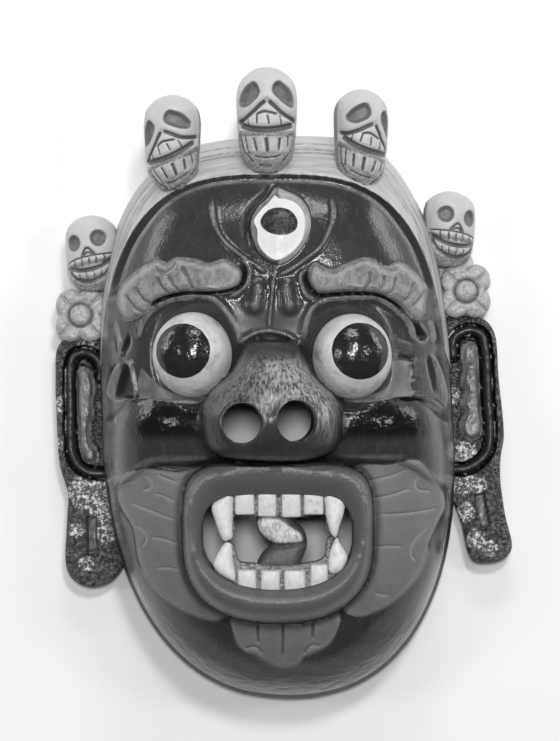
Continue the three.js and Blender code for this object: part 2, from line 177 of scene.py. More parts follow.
def depth_in(x, y, path, reach):
    """Distance inside a closed path, less than nothing outside it."""
    away, _ = near(x, y, path, reach)
    low, high = path.min(0), path.max(0)
    pick = np.flatnonzero((x > low[0]) & (x < high[0]) & (y > low[1]) & (y < high[1]))
    inside = np.zeros(x.shape, bool)
    x0, y0 = path[:-1].T
    x1, y1 = path[1:].T
    rise = np.where(y1 == y0, 1e-9, y1 - y0)
    for part in np.array_split(pick, max(1, len(pick) * len(x0) // 2000000 + 1)):
        px, py = x[part, None], y[part, None]
        crosses = ((y0 > py) != (y1 > py)) & (px < x0 + (py - y0) * (x1 - x0) / rise)
        inside[part] = crosses.sum(1) % 2 == 1
    return np.where(inside, away, -away)


def ease(low, high, value):
    """Goes smoothly from 0 at low to 1 at high, which may be below low."""
    t = np.clip((value - low) / (high - low), 0, 1)
    return t * t * (3 - 2 * t)


def rounding(share):
    """The height of a quarter round, for a share of the way in from its edge."""
    return np.sqrt(np.clip(1 - (1 - np.clip(share, 0, 1)) ** 2, 0, 1))


def blend_max(a, b, soft):
    """The higher of two heights, with a soft hollow where they meet."""
    h = np.clip(0.5 + 0.5 * (a - b) / soft, 0, 1)
    return b + (a - b) * h + soft * h * (1 - h)


def speckle(points, scale, seed=0.0):
    """Smooth hand-made unevenness, about -1 to 1, at points in millimetres."""
    shift = Vector((seed * 7.3, seed * 3.1, seed * 5.7))
    return np.array([noise.noise(Vector(p) / scale + shift) for p in points])


def super_radius(angle, rx, ry, square):
    across = np.abs(np.cos(angle)) / rx
    along = np.abs(np.sin(angle)) / ry
    return (across ** square + along ** square) ** (-1 / square)


def oval_radius(angle, rx, up, down, square_up, square_down):
    """An oval whose upper and lower halves differ in reach and squareness."""
    return np.where(np.sin(angle) > 0, super_radius(angle, rx, up, square_up),
                    super_radius(angle, rx, down, square_down))


def oval_outline(cx, cy, *size, steps=160):
    turn = np.linspace(0, 2 * math.pi, steps + 1)
    radius = oval_radius(turn, *size)
    return np.column_stack([cx + radius * np.cos(turn), cy + radius * np.sin(turn)])


# ------------------------------------------------------------------ head surface


LIP_EDGE = oval_outline(*LIPS)
MOUTH_EDGE = oval_outline(*MOUTH)
NOSE_TABLES = [smooth_path(p, False, 0.5).T for p in (NOSE_LEFT, NOSE_RIGHT, NOSE_PROFILE)]


def head_radius(angle, over):
    radius = oval_radius(angle, HALF_WIDTH + over, CROWN_REACH + over, CHIN_REACH + over,
                         CROWN_SQUARE, CHIN_SQUARE)
    crest = CREST_RISE - CREST_TILT * (angle - math.pi / 2)
    return radius + crest * ease(*CREST_RIGHT, angle) * ease(*CREST_LEFT, angle)


def face_polar(x, y, over=0.0):
    dx = x - FACE_X - JAW_SHIFT * np.maximum(0, JAW_FROM - y)
    dy = y - FACE_Y
    angle = np.arctan2(dy, dx)
    return np.hypot(dx, dy) / head_radius(angle, over), angle


def dome(x, y, over=0.0, height=DOME_HEIGHT):
    share, _ = face_polar(x, y, over)
    return height * np.sqrt(np.clip(1 - share ** DOME_POWER, 0, 1))


def bump(x, y, blob):
    """Top of an ellipsoid, falling away steeply past its edge."""
    cx, cy, cz, rx, ry, rz = blob
    q = ((x - cx) / rx) ** 2 + ((y - cy) / ry) ** 2
    inside = cz + rz * np.sqrt(np.clip(1 - q, 0, 1))
    return inside - 60 * np.clip(np.sqrt(q) - 1, 0, 3)


def bare_face(x, y):
    """The large forms: dome, eye sockets, nose, cheeks and lips."""
    z = dome(x, y)
    for cx, cy in (EYE_LEFT, EYE_RIGHT):
        q = ((x - cx) / SOCKET[0]) ** 2 + ((y - cy) / SOCKET[1]) ** 2
        bowl = SOCKET_LEVEL - SOCKET[2] * np.sqrt(np.clip(1 - q, 0, 1))
        bowl = bowl + SOCKET_SLOPE * np.clip(q - 1, 0, 1)
        z = -blend_max(-z, -bowl, 4.0)
    z = z + cheek_rise(x, y)
    z = blend_max(z, nose_form(x, y, z), 1.5)
    return blend_max(z, lip_roll(x, y), 2.0)


def nose_form(x, y, under):
    """A bell of a nose: narrow at the bridge, swelling to broad round wings."""
    left, right, top = (np.interp(y, *table) for table in NOSE_TABLES)
    out = np.abs((x - (left + right) / 2) / ((right - left) / 2))
    round_side = np.sqrt(np.clip(1 - out ** (2.2 + 1.3 * ease(4, -16, y)), 0, 1))
    base = under - 3
    past = np.maximum(out - 1, 0) * 20
    past = past + np.maximum(y - NOSE_BRIDGE, 0) + np.maximum(NOSE_FOOT - y, 0)
    return base + (top - base) * round_side * (past <= 0) - 8 * past


def cheek_rise(x, y):
    """Cheeks: full below the eyes, sloping down to a crease, melting into the jaw at the sides."""
    out = np.zeros(x.shape)
    for side, middle in ((-1, -2.0), (1, -1.0)):
        across = side * (x + 3)
        top = -10.5 - 14 * ease(88, 112, across)
        bottom = -50 + middle - 18 * ease(74, 112, across)
        t = (y - bottom) / (top - bottom)
        upper = np.sqrt(np.clip(1 - (np.maximum(t - 0.6, 0) / 0.4) ** 2.4, 0, 1))
        lower = 1 - 0.5 * np.clip((0.6 - t) / 0.6, 0, 1) ** 1.5
        foot = np.sqrt(ease(0.0, 0.14, t))
        out += CHEEK_RISE * upper * lower * foot * ease(24, 32, across) * ease(128, 96, across)
    return out


def lip_roll(x, y):
    """The rolled lip. Its crest is high on the upper lip and close to the mouth on the lower."""
    outside = depth_in(x, y, LIP_EDGE, 60)
    inside = -depth_in(x, y, MOUTH_EDGE, 60)
    wide = np.clip(outside, 0, 60)
    across = wide / np.maximum(wide + np.clip(inside, 0, 60), 1)
    crest = 0.7 - 0.42 * ease(-112, -78, y)
    rise = np.sqrt(np.clip(1 - (1 - np.clip(across / crest, 0, 1)) ** 2.2, 0, 1))
    roll = rise - 0.3 * np.clip((across - crest) / (1 - crest), 0, 1) ** 1.8
    return LIP_TOP - LIP_HEIGHT + LIP_HEIGHT * roll + np.minimum(outside, 0) * 4


def hollow_face(x, y):
    """The inside of the shell, with scoops behind the forehead, the nose and the mouth."""
    z = dome(x, y, -WALL, HOLLOW_HEIGHT)
    for blob in SCOOPS:
        z = blend_max(z, bump(x, y, blob), 4.0)
    return z


# ------------------------------------------------------------------ carved lines

FROWN = (
    ((-45, 119.5), (-44, 108.5), (-41.5, 97.5), (-37, 90), (-28.5, 82.5), (-19, 76), (-8.5, 68.5)),
    ((30.5, 121), (32, 107), (30, 98), (24, 86.5), (14.5, 78.5), (4.5, 71.5), (-5.5, 67)),
    ((-5.5, 68), (-7, 52), (-8, 41.5), (-8.5, 33)),
)
NOSE_ARCH = ((-28, 23), (-22, 29), (-16, 32), (-8.5, 33), (0, 31.5), (7, 28), (13.5, 22.5))
EYE_RIMS = (
    ((-27.5, 22), (-28.5, 32), (-32.5, 40.5), (-41, 51.5), (-51.5, 56), (-62, 54.5),
     (-74.5, 51), (-84.5, 44), (-89.5, 35.5), (-91.5, 27)),
    ((14, 24), (14, 33), (15.5, 41), (19.5, 48), (27, 52.5), (36, 54), (48, 54.5),
     (58, 54.5), (68.5, 49.5), (76.5, 42.5), (82, 34), (83, 25.5)),
)
BROW_FOLDS = (
    ((-27.5, 79.5), (-21, 73), (-21.5, 65.5), (-26, 59), (-34, 54)),
    ((17, 73), (12, 68.5), (12, 61.5), (15.5, 55), (21.5, 52)),
)
UNDER_BROWS = (
    ((-26.5, 77), (-24, 70), (-26, 62.5), (-34, 58.5), (-48.5, 57), (-62, 57), (-77, 53.5),
     (-87.5, 46.5)),
    ((16.5, 71.5), (14.5, 67), (16.5, 61.5), (22.5, 56), (35, 56.5), (47.5, 57), (60, 56),
     (70.5, 51), (78, 43.5)),
)
BROW_LOBES = (
    ((-13.5, 68), (-15.5, 60), (-17, 50), (-18, 41)),
    ((0.5, 68), (2.5, 60), (4, 50), (5, 41)),
)
CHEEK_TOPS = (
    ((-109.5, -26.5), (-105, -20), (-98.5, -14), (-87.5, -11.5), (-75.5, -12.5), (-65, -13),
     (-53.5, -10)),
    ((45.5, -13), (56.5, -12.5), (66.5, -10.5), (77, -8.5), (87.5, -9), (97.5, -12), (107, -19.5)),
)
LIP_LINE = ((-54.5, -56), (-49, -52.5), (-42.5, -52), (-27, -53), (-8, -53.5), (11, -52.5),
            (30, -50.5), (39.5, -50), (47.5, -52), (51.5, -56))
# Corner folds by the temples, as (points, half width, height): above nothing is a ridge.
CORNER_FOLDS = (
    (((-108, 42), (-105, 29), (-103, 16)), 2.0, 1.8),
    (((-103, 15), (-109.5, 2), (-113.5, -12.5)), 2.2, 2.4),
    (((-88.5, 43), (-91, 35), (-92, 27.5)), 1.5, 1.6),
    (((-102, 15.5), (-96.5, 11.5), (-94, -1), (-92.5, -10.5)), 1.4, 1.8),
    (((94, 42), (96.5, 33), (97, 24.5)), 2.2, 2.0),
    (((72.5, 17.5), (78, 16), (84, 15)), 1.8, -2.6),
    (((81.5, 13), (82.2, 7), (81.2, 1.5)), 1.2, -2.2),
    (((94.5, 21.5), (103, 2), (107, -21.5)), 2.2, 2.4),
)
# Pointed hollows cut by the temples.
PITS = (
    ((-98, 32.4), (-101.7, 27.1), (-104, 20.7), (-102.2, 15.4), (-99.6, 19.7), (-96.9, 26)),
    ((-101.2, 12.9), (-103.8, 8), (-106.5, 0.6), (-108.1, -7.9), (-107, -11), (-101.7, -10),
     (-95.9, -10), (-94.3, -3.6), (-96.9, 4.8), (-99.1, 11.2)),
    ((81.5, 40.9), (86.3, 39.3), (90, 35.6), (92.9, 30.3), (91.6, 26.6), (87.4, 27.1), (84.2, 31.4),
     (82.6, 36.7)),
    ((92.8, 18.7), (96, 15.5), (98.1, 6.9), (99.7, -2.6), (100.2, -6.8), (97.6, -5.8), (95.4, 1.6),
     (93.3, 10.1)),
)
LIDS = (
    ((-89.5, 9.5), (-84, 4), (-78, -2), (-70, -6), (-60, -8), (-52, -7.5), (-47, -8.6),
     (-52, -12.2), (-63, -12.4), (-75, -11.2), (-86, -10.2), (-91, -8.5), (-92, -0.5)),
    ((69, 13.5), (81.5, 13), (82, 3.5), (81.5, -1.5), (83.5, -7.2), (74, -8.6), (62, -10.8),
     (48, -12), (38, -10.6), (44, -8.4), (56, -7), (64, -4), (69.5, 3.5)),
)

# Lines cut into the whiskers, the brows and the beard.
ENGRAVED = (
    ((-79.5, -57.5), (-72.5, -60.5), (-65.5, -63)), ((-81, -69.5), (-74.5, -71.5), (-67.5, -75)),
    ((-99, -76), (-84.5, -80.5), (-66, -87)), ((-84, -97.5), (-74.5, -99), (-65.5, -101.5)),
    ((-81, -118), (-73, -117), (-64.5, -118)),
    ((-94.5, -90), (-89, -93), (-86.5, -98), (-89.5, -105.5)),
    ((-87.5, -57.5), (-83, -62), (-83.5, -66), (-89, -68.5)),
    ((-101, -63), (-97, -62), (-92, -63.5)),
    ((54, -61.5), (66.5, -59), (80, -54.5)), ((57.5, -72.5), (69, -70.5), (81.5, -66.5)),
    ((59, -83), (77.5, -82.5), (101.5, -80)), ((59, -103), (67, -103), (76, -103.5)),
    ((58, -133), (63, -134), (68.5, -135)),
    ((87, -58.5), (84, -63), (86, -67.5), (95, -69)),
    ((94.5, -91), (88.5, -95), (82.5, -102.5), (82, -109.5), (85.5, -114.5)),
)
BROW_CUTS = (
    ((-63.5, 73.5), (-59, 66), (-56.5, 58.5)), ((-71.5, 68), (-68, 62), (-65.5, 58)),
    ((-78, 67), (-75, 61), (-72, 56)), ((-91.5, 60.5), (-88, 55), (-83, 49.5)),
    ((-97.5, 56), (-93.5, 50), (-88, 44)), ((-80, 73.5), (-75, 69.5), (-69.5, 72), (-66, 77)),
    ((54, 70.5), (53.5, 64), (51, 58.5)), ((63, 67.5), (62.5, 62.5), (60.5, 58.5)),
    ((69.5, 66.5), (69, 60.5), (66, 55.5)), ((81, 63.5), (79.5, 57), (75, 51)),
    ((89, 59), (84.5, 53), (79.5, 48)), ((60.5, 77.5), (64, 73), (69, 71), (73, 74.5)),
)
BEARD_CUTS = (
    ((-15.9, -152.5), (-15.6, -159), (-15.2, -165.4)), ((0.3, -152), (0.2, -164), (-0.2, -175.3)),
    ((19.3, -151.5), (19.2, -157), (19, -162.6)),
    ((-24.4, -168.9), (-18.7, -167.2), (-14.5, -168.9), (-12.4, -172.4)),
    ((24.2, -166.8), (18.6, -166.1), (15, -168.9), (14.1, -172.4)),
)
THIRD_WHITE = ((-4.5, 119.5), (-8.5, 115), (-14, 109.5), (-18, 103), (-16, 97), (-15.5, 89),
               (-11.5, 82.5), (-4, 78), (4, 81.5), (10.5, 88), (14, 96.5), (14, 106), (9.5, 113.5),
               (2, 117), (-2.5, 117.5))
THIRD_RIM = ((-5, 126), (-10.5, 119), (-18, 111), (-21.5, 103), (-20.5, 91), (-15, 80.5), (-4, 75),
             (7, 80), (16.5, 93.5), (18, 102.5), (16, 111.5), (10.5, 118.5), (1.5, 123))
THIRD_PUPIL = ((-14, 103), (-9.5, 109.5), (-2.5, 111.5), (5, 109.5), (9.5, 103), (8.5, 97.5),
               (3, 94), (-4.5, 94), (-10.5, 96.5), (-13.5, 100))
# Rough places that throw small glints.
SPARK_SPOTS = (
    ((-17, 80), (-10.5, 80), (-3.5, 74), (-5.5, 68), (-11.5, 71.5)),
    ((69, 33), (74, 27), (82, 25), (80, 15), (71, 15)),
    ((84, 15), (92, 14), (92, 2), (85, 4)),
)

BAND_RING = oval_outline(FACE_X, FACE_Y, *GROOVE, steps=480)
PIT_EDGES = [smooth_path(p, True, 1.0) for p in PITS]
BROW_EDGES = [smooth_path(p, True) for p in BROWS]
HAIR_EDGES = [smooth_path(p, True) for p in WHISKERS] + [smooth_path(BEARD, True)]
LID_EDGES = [smooth_path(p, True) for p in LIDS]
THIRD_EDGES = [smooth_path(p, True, 1.0) for p in (THIRD_WHITE, THIRD_PUPIL, THIRD_RIM)]
SPARK_EDGES = [smooth_path(p, True) for p in SPARK_SPOTS]


def strokes(*groups):
    """One stroke for each line of each group, all of a group to the same gouge."""
    return [(smooth_path(points), *gouge) for lines, *gouge in groups for points in lines]


# Raised cords and cut lines, as (lines, half width, height, how far each end is drawn out).
STROKES = strokes(
    (FROWN, 1.5, 1.8, 0.12), ([NOSE_ARCH], 1.5, 2.4, 0.1), (EYE_RIMS, 2.0, 3.0, 0.08),
    (BROW_FOLDS, 1.5, 2.0, 0.15), (UNDER_BROWS, 1.4, -3.0, 0.06), (BROW_LOBES, 5.2, 3.6, 0.35),
    (CHEEK_TOPS, 1.2, 1.8, 0.12), ([LIP_LINE], 1.2, 2.0, 0.08),
    *(([points], half, rise, 0.25) for points, half, rise in CORNER_FOLDS))
FINE_CUTS = strokes((ENGRAVED, 0.75, -1.0, 0.2), (BROW_CUTS, 0.8, -3.0, 0.15),
                    (BEARD_CUTS, 0.7, -1.8, 0.15))


def carved_detail(x, y):
    """Height of the carved detail over the bare face."""
    rise = np.zeros(x.shape)
    for path, half, height, drawn in STROKES + FINE_CUTS:
        away, share = near(x, y, path, half * 3.2)
        ends = ease(0, drawn, share) * ease(0, drawn, 1 - share)
        rise += height * ends * np.exp(-(away / half) ** 2) * (away < half * 3.2)
    for edge in BROW_EDGES:
        deep = depth_in(x, y, edge, 14)
        rise += 4.6 * ease(-0.6, 4.5, deep)
    lips = depth_in(x, y, LIP_EDGE, 8)
    for edge in PIT_EDGES:
        rise -= 4.5 * ease(-0.4, 3.0, depth_in(x, y, edge, 6))
    for edge in HAIR_EDGES:
        deep = depth_in(x, y, edge, 8)
        rise += 1.3 * ease(-0.4, 0.9, deep) * ease(1.0, 4.0, -lips)
    rim = depth_in(x, y, THIRD_EDGES[2], 12)
    white = depth_in(x, y, THIRD_EDGES[0], 12)
    shade = ease(0, -14, x) * ease(84, 98, y)
    rise -= (0.3 + 2.2 * shade) * ease(-4.0, -0.8, rim) * ease(2.2, 0.2, rim)
    rise += 3.4 * ease(-0.6, 3.4, rim) - 1.0 * ease(-0.8, 0.6, white) + 3.0 * ease(0, 12, white)
    for cx, cy in NOSTRILS:
        gap = np.hypot(x - cx, y - cy) - NOSTRIL_RADIUS
        rise += 1.1 * np.exp(-((gap - 1.6) / 1.6) ** 2)
    away, broad = groove_gap(x, y)
    rise -= 4.2 * ease(2.6 + 1.4 * broad, 0.4, away) * ease(*GROOVE_END, y)
    share, _ = face_polar(x, y)
    rise -= 1.8 * np.exp(-((share - RIM_LINE) * 160 / 1.5) ** 2) * ease(-50, -80, y)
    return rise


def groove_gap(x, y):
    """Distance from the middle of the groove round the face, which is broader down the sides."""
    broad = ease(126, 98, y)
    return np.abs(depth_in(x, y, BAND_RING, 9) - 1.7 * broad), broad


def detail_distance(x, y):
    """Distance to the nearest crisp line, where the mesh is made finer."""
    best = np.full(x.shape, 9.0)
    paths = [s[0] for s in STROKES + FINE_CUTS] + BROW_EDGES + THIRD_EDGES + PIT_EDGES
    paths.append(BAND_RING[BAND_RING[:, 1] > 30])
    for path in paths:
        away, _ = near(x, y, path, 9.0)
        best = np.minimum(best, away)
    return best


def softened(field, reach):
    """The same field, smoothed over a reach given in its own cells."""
    cells = np.arange(-int(2.5 * reach), int(2.5 * reach) + 1)
    weight = np.exp(-(cells / reach) ** 2 / 2)
    weight /= weight.sum()
    for axis in (0, 1):
        field = sum(w * np.roll(field, c, axis) for w, c in zip(weight, cells))
    return field


def relief_map(x, y):
    """How far each point stands above its close surroundings, and lies below its wider ones."""
    xs = np.arange(*RELIEF_X, RELIEF_STEP)
    ys = np.arange(*RELIEF_Y, RELIEF_STEP)
    grid_x, grid_y = (g.ravel() for g in np.meshgrid(xs, ys))
    height = (bare_face(grid_x, grid_y) + carved_detail(grid_x, grid_y)).reshape(len(ys), len(xs))
    height = np.maximum(height, RELIEF_FLOOR)
    close = height - softened(height, 2.0 / RELIEF_STEP)
    wide = softened(height, 6 / RELIEF_STEP) - height
    column = np.clip((x - xs[0]) / RELIEF_STEP, 0, len(xs) - 2)
    row = np.clip((y - ys[0]) / RELIEF_STEP, 0, len(ys) - 2)
    i, j = row.astype(int), column.astype(int)
    v, u = row - i, column - j
    out = []
    for field in (close, wide):
        low = field[i, j] * (1 - u) + field[i, j + 1] * u
        high = field[i + 1, j] * (1 - u) + field[i + 1, j + 1] * u
        out.append(low * (1 - v) + high * v)
    return out


# ------------------------------------------------------------------ mesh helpers

SHARP = math.radians(38)


def coords(mesh):
    """A mesh's points, one row each."""
    data = np.empty(len(mesh.vertices) * 3)
    mesh.vertices.foreach_get("co", data)
    return data.reshape(-1, 3)


def set_coords(mesh, data):
    mesh.vertices.foreach_set("co", np.ascontiguousarray(data, float).ravel())
    mesh.update()


def bm_xy(bm):
    return np.array([v.co[:2] for v in bm.verts])


def from_bmesh(name, bm):
    mesh = bpy.data.meshes.new(name)
    bm.to_mesh(mesh)
    bm.free()
    made = bpy.data.objects.new(name, mesh)
    bpy.context.scene.collection.objects.link(made)
    return made


def applied(made):
    """The object with its modifiers made part of its mesh."""
    graph = bpy.context.evaluated_depsgraph_get()
    mesh = bpy.data.meshes.new_from_object(made.evaluated_get(graph))
    old = made.data
    made.modifiers.clear()
    made.data = mesh
    bpy.data.meshes.remove(old)
    return made


def drop(made):
    mesh = made.data
    bpy.data.objects.remove(made)
    bpy.data.meshes.remove(mesh)


def cut(made, tool, operation="DIFFERENCE"):
    change = made.modifiers.new("cut", "BOOLEAN")
    change.operation = operation
    change.solver = "MANIFOLD"
    change.object = tool
    applied(made)
    drop(tool)
    return made


def join(name, parts):
    """One mesh from several, which keep their own material slots."""
    bm = bmesh.new()
    slots = []
    for part in parts:
        first = len(bm.faces)
        bm.from_mesh(part.data)
        bm.faces.ensure_lookup_table()
        order = []
        for material in part.data.materials:
            if material not in slots:
                slots.append(material)
            order.append(slots.index(material))
        for face in bm.faces[first:]:
            face.material_index = order[face.material_index] if order else 0
    for part in parts:
        drop(part)
    made = from_bmesh(name, bm)
    for material in slots:
        made.data.materials.append(material)
    return made


def finished(made, node):
    """Moves a finished carving to its place, in metres, and rides it on the mask."""
    mesh = made.data
    data = coords(mesh)
    data[:, 0] += MIDDLE[0]
    data[:, 1] += MIDDLE[1]
    set_coords(mesh, data * MM)
    mesh.shade_smooth()
    mesh.set_sharp_from_angle(angle=SHARP)
    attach(made, "root")
    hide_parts(node)
    return made


def share_to_rim(share):
    """Rows of a dome crowd towards its rim, where the wall turns steep."""
    r = np.linspace(0, 1, 2001)
    z = DOME_HEIGHT * np.sqrt(np.clip(1 - r ** DOME_POWER, 0, 1))
    step = np.hypot(np.diff(r) * 150, np.diff(z) * 0.3)
    run = np.concatenate([[0], np.cumsum(step)])
    return np.interp(share, run / run[-1], r)


def dome_grid(across, along, over):
    """A square sheet pushed out to the head's outline, laid flat."""
    bm = bmesh.new()
    bmesh.ops.create_grid(bm, x_segments=across, y_segments=along, size=1.0)
    uv = bm_xy(bm)
    u, v = uv[:, 0], uv[:, 1]
    px = u * np.sqrt(1 - v * v / 2)
    py = v * np.sqrt(1 - u * u / 2)
    share = np.clip(np.hypot(px, py), 0, 1)
    turn = np.arctan2(py, px)
    reach = np.where(py > 0, CROWN_REACH, CHIN_REACH)
    angle = np.arctan2(reach * np.sin(turn), HALF_WIDTH * np.cos(turn))
    radius = share_to_rim(share) * head_radius(angle, over)
    y = FACE_Y + radius * np.sin(angle)
    x = FACE_X + JAW_SHIFT * np.maximum(0, JAW_FROM - y) + radius * np.cos(angle)
    for vert, cx, cy in zip(bm.verts, x, y):
        vert.co = (cx, cy, 0)
    return bm


def close_below(bm, level):
    """Drops the sheet's edge to a level and closes it flat."""
    rim = [e for e in bm.edges if e.is_boundary]
    made = bmesh.ops.extrude_edge_only(bm, edges=rim)
    low = [g for g in made["geom"] if isinstance(g, bmesh.types.BMVert)]
    for vert in low:
        vert.co.z = level
    rim = [e for e in bm.edges if e.is_boundary]
    bmesh.ops.contextual_create(bm, geom=rim)
    bmesh.ops.recalc_face_normals(bm, faces=bm.faces)


def relax(xy, edges, height, rounds):
    """Draws grid points towards steep places, so the faces there stay small."""
    a, b = edges.T
    count = np.bincount(np.concatenate([a, b]), minlength=len(xy))
    held = count < 4
    for _ in range(rounds):
        z = height(xy[:, 0], xy[:, 1])
        flat = xy[b] - xy[a]
        run = np.hypot(flat[:, 0], flat[:, 1])
        full = np.hypot(run, 0.45 * (z[b] - z[a]))
        pull = (full / np.maximum(run, 1e-6)).clip(1, 6)
        total = np.bincount(a, pull, len(xy)) + np.bincount(b, pull, len(xy))
        for axis in (0, 1):
            force = pull * flat[:, axis]
            net = np.bincount(a, force, len(xy)) - np.bincount(b, force, len(xy))
            xy[:, axis] += np.where(held, 0, 0.8 * net / total)
    return xy


def oval_prism(cx, cy, size, low, high, lean=(0, 0), narrow=1.0, steps=112):
    """A standing prism over an oval; its foot may lean aside and narrow."""
    bm = bmesh.new()
    bmesh.ops.create_circle(bm, cap_ends=True, segments=steps, radius=1.0)
    for vert in bm.verts:
        angle = math.atan2(vert.co.y, vert.co.x)
        radius = float(oval_radius(angle, *size))
        vert.co = (cx + radius * math.cos(angle), cy + radius * math.sin(angle), high)
    made = bmesh.ops.extrude_face_region(bm, geom=bm.faces[:])
    for item in made["geom"]:
        if isinstance(item, bmesh.types.BMVert):
            item.co.x = cx + lean[0] + (item.co.x - cx) * narrow
            item.co.y = cy + lean[1] + (item.co.y - cy) * narrow
            item.co.z = low
    bmesh.ops.recalc_face_normals(bm, faces=bm.faces)
    return bm


# ------------------------------------------------------------------ head


def head_shell():
    """The carved front as a closed block, its mesh finer along the carving."""
    bm = dome_grid(*HEAD_GRID, 0.0)
    bm.verts.ensure_lookup_table()
    edges = np.array([(e.verts[0].index, e.verts[1].index) for e in bm.edges])
    xy = relax(bm_xy(bm), edges, bare_face, RELAX_ROUNDS)
    for vert, (cx, cy) in zip(bm.verts, xy):
        vert.co = (cx, cy, 0)
    mid = (xy[edges[:, 0]] + xy[edges[:, 1]]) / 2
    fine = detail_distance(mid[:, 0], mid[:, 1]) < FINE_REACH
    bm.edges.ensure_lookup_table()
    chosen = [bm.edges[i] for i in np.flatnonzero(fine)]
    bmesh.ops.subdivide_edges(bm, edges=chosen, cuts=1, use_grid_fill=True)
    bm.verts.index_update()
    xy = bm_xy(bm)
    ends = np.array([(e.verts[0].index, e.verts[1].index) for e in bm.edges])
    mid = (xy[ends[:, 0]] + xy[ends[:, 1]]) / 2
    away, _ = near(mid[:, 0], mid[:, 1], BAND_RING, 4)
    length = np.hypot(*(xy[ends[:, 0]] - xy[ends[:, 1]]).T)
    again = (away < FINE_REACH) & (mid[:, 1] > 34) & (length > 0.5)
    for path, *_ in FINE_CUTS:
        away, _ = near(mid[:, 0], mid[:, 1], path, 2)
        again |= (away < FINEST_REACH) & (length > 0.45)
    bm.edges.ensure_lookup_table()
    chosen = [bm.edges[i] for i in np.flatnonzero(again)]
    bmesh.ops.subdivide_edges(bm, edges=chosen, cuts=1, use_grid_fill=True)
    xy = bm_xy(bm)
    x, y = xy.T
    z = bare_face(x, y)
    step = 0.5
    slope_x = (bare_face(x + step, y) - bare_face(x - step, y)) / (2 * step)
    slope_y = (bare_face(x, y + step) - bare_face(x, y - step)) / (2 * step)
    normal = np.column_stack([-slope_x, -slope_y, np.ones(len(x))])
    normal /= np.linalg.norm(normal, axis=1)[:, None]
    place = np.column_stack([x, y, z])
    rise = carved_detail(x, y)
    rise += 0.35 * speckle(place, 26, 1) + 0.16 * speckle(place, 9, 2)
    share, _ = face_polar(x, y)
    rise *= ease(1.0, 0.985, share)
    place += normal * rise[:, None]
    place[:, 2] = np.maximum(place[:, 2], 0)
    for vert, at in zip(bm.verts, place):
        vert.co = at
    for edge in bm.edges:
        if edge.is_boundary:
            for vert in edge.verts:
                vert.co.z = 0
    rim = [e for e in bm.edges if e.is_boundary]
    bmesh.ops.contextual_create(bm, geom=rim)
    bmesh.ops.recalc_face_normals(bm, faces=bm.faces)
    return from_bmesh("head", bm)


def hollow_tool():
    """The block that hollows the head out from behind, with gouge marks."""
    bm = dome_grid(*HOLLOW_GRID, -WALL)
    xy = bm_xy(bm)
    x, y = xy.T
    z = hollow_face(x, y)
    share, _ = face_polar(x, y, -WALL)
    place = np.column_stack([x, y, z])
    z = z + (0.9 * speckle(place, 14, 3) + 0.5 * speckle(place, 6, 4)) * ease(1.0, 0.97, share)
    for vert, cx, cy, cz in zip(bm.verts, x, y, z):
        vert.co = (cx, cy, max(cz, 0))
    close_below(bm, -5)
    return from_bmesh("hollow", bm)


def make_head():
    """The hollow head, open through the mouth and both nostrils."""
    shell = head_shell()
    mouth = from_bmesh("mouth", oval_prism(*MOUTH[:2], MOUTH[2:], -1, 170))
    tool = hollow_tool()
    cut(tool, mouth, "UNION")
    for (cx, cy), lean in zip(NOSTRILS, NOSTRIL_LEANS):
        size = (NOSTRIL_RADIUS + 0.4, *[NOSTRIL_RADIUS + 0.8] * 2, 2, 2)
        hole = oval_prism(cx, cy, size, 60, 175, lean=(lean, -2.5), narrow=0.86)
        cut(tool, from_bmesh("nostril", hole), "UNION")
    return cut(shell, tool)


# ------------------------------------------------------------------ finishes


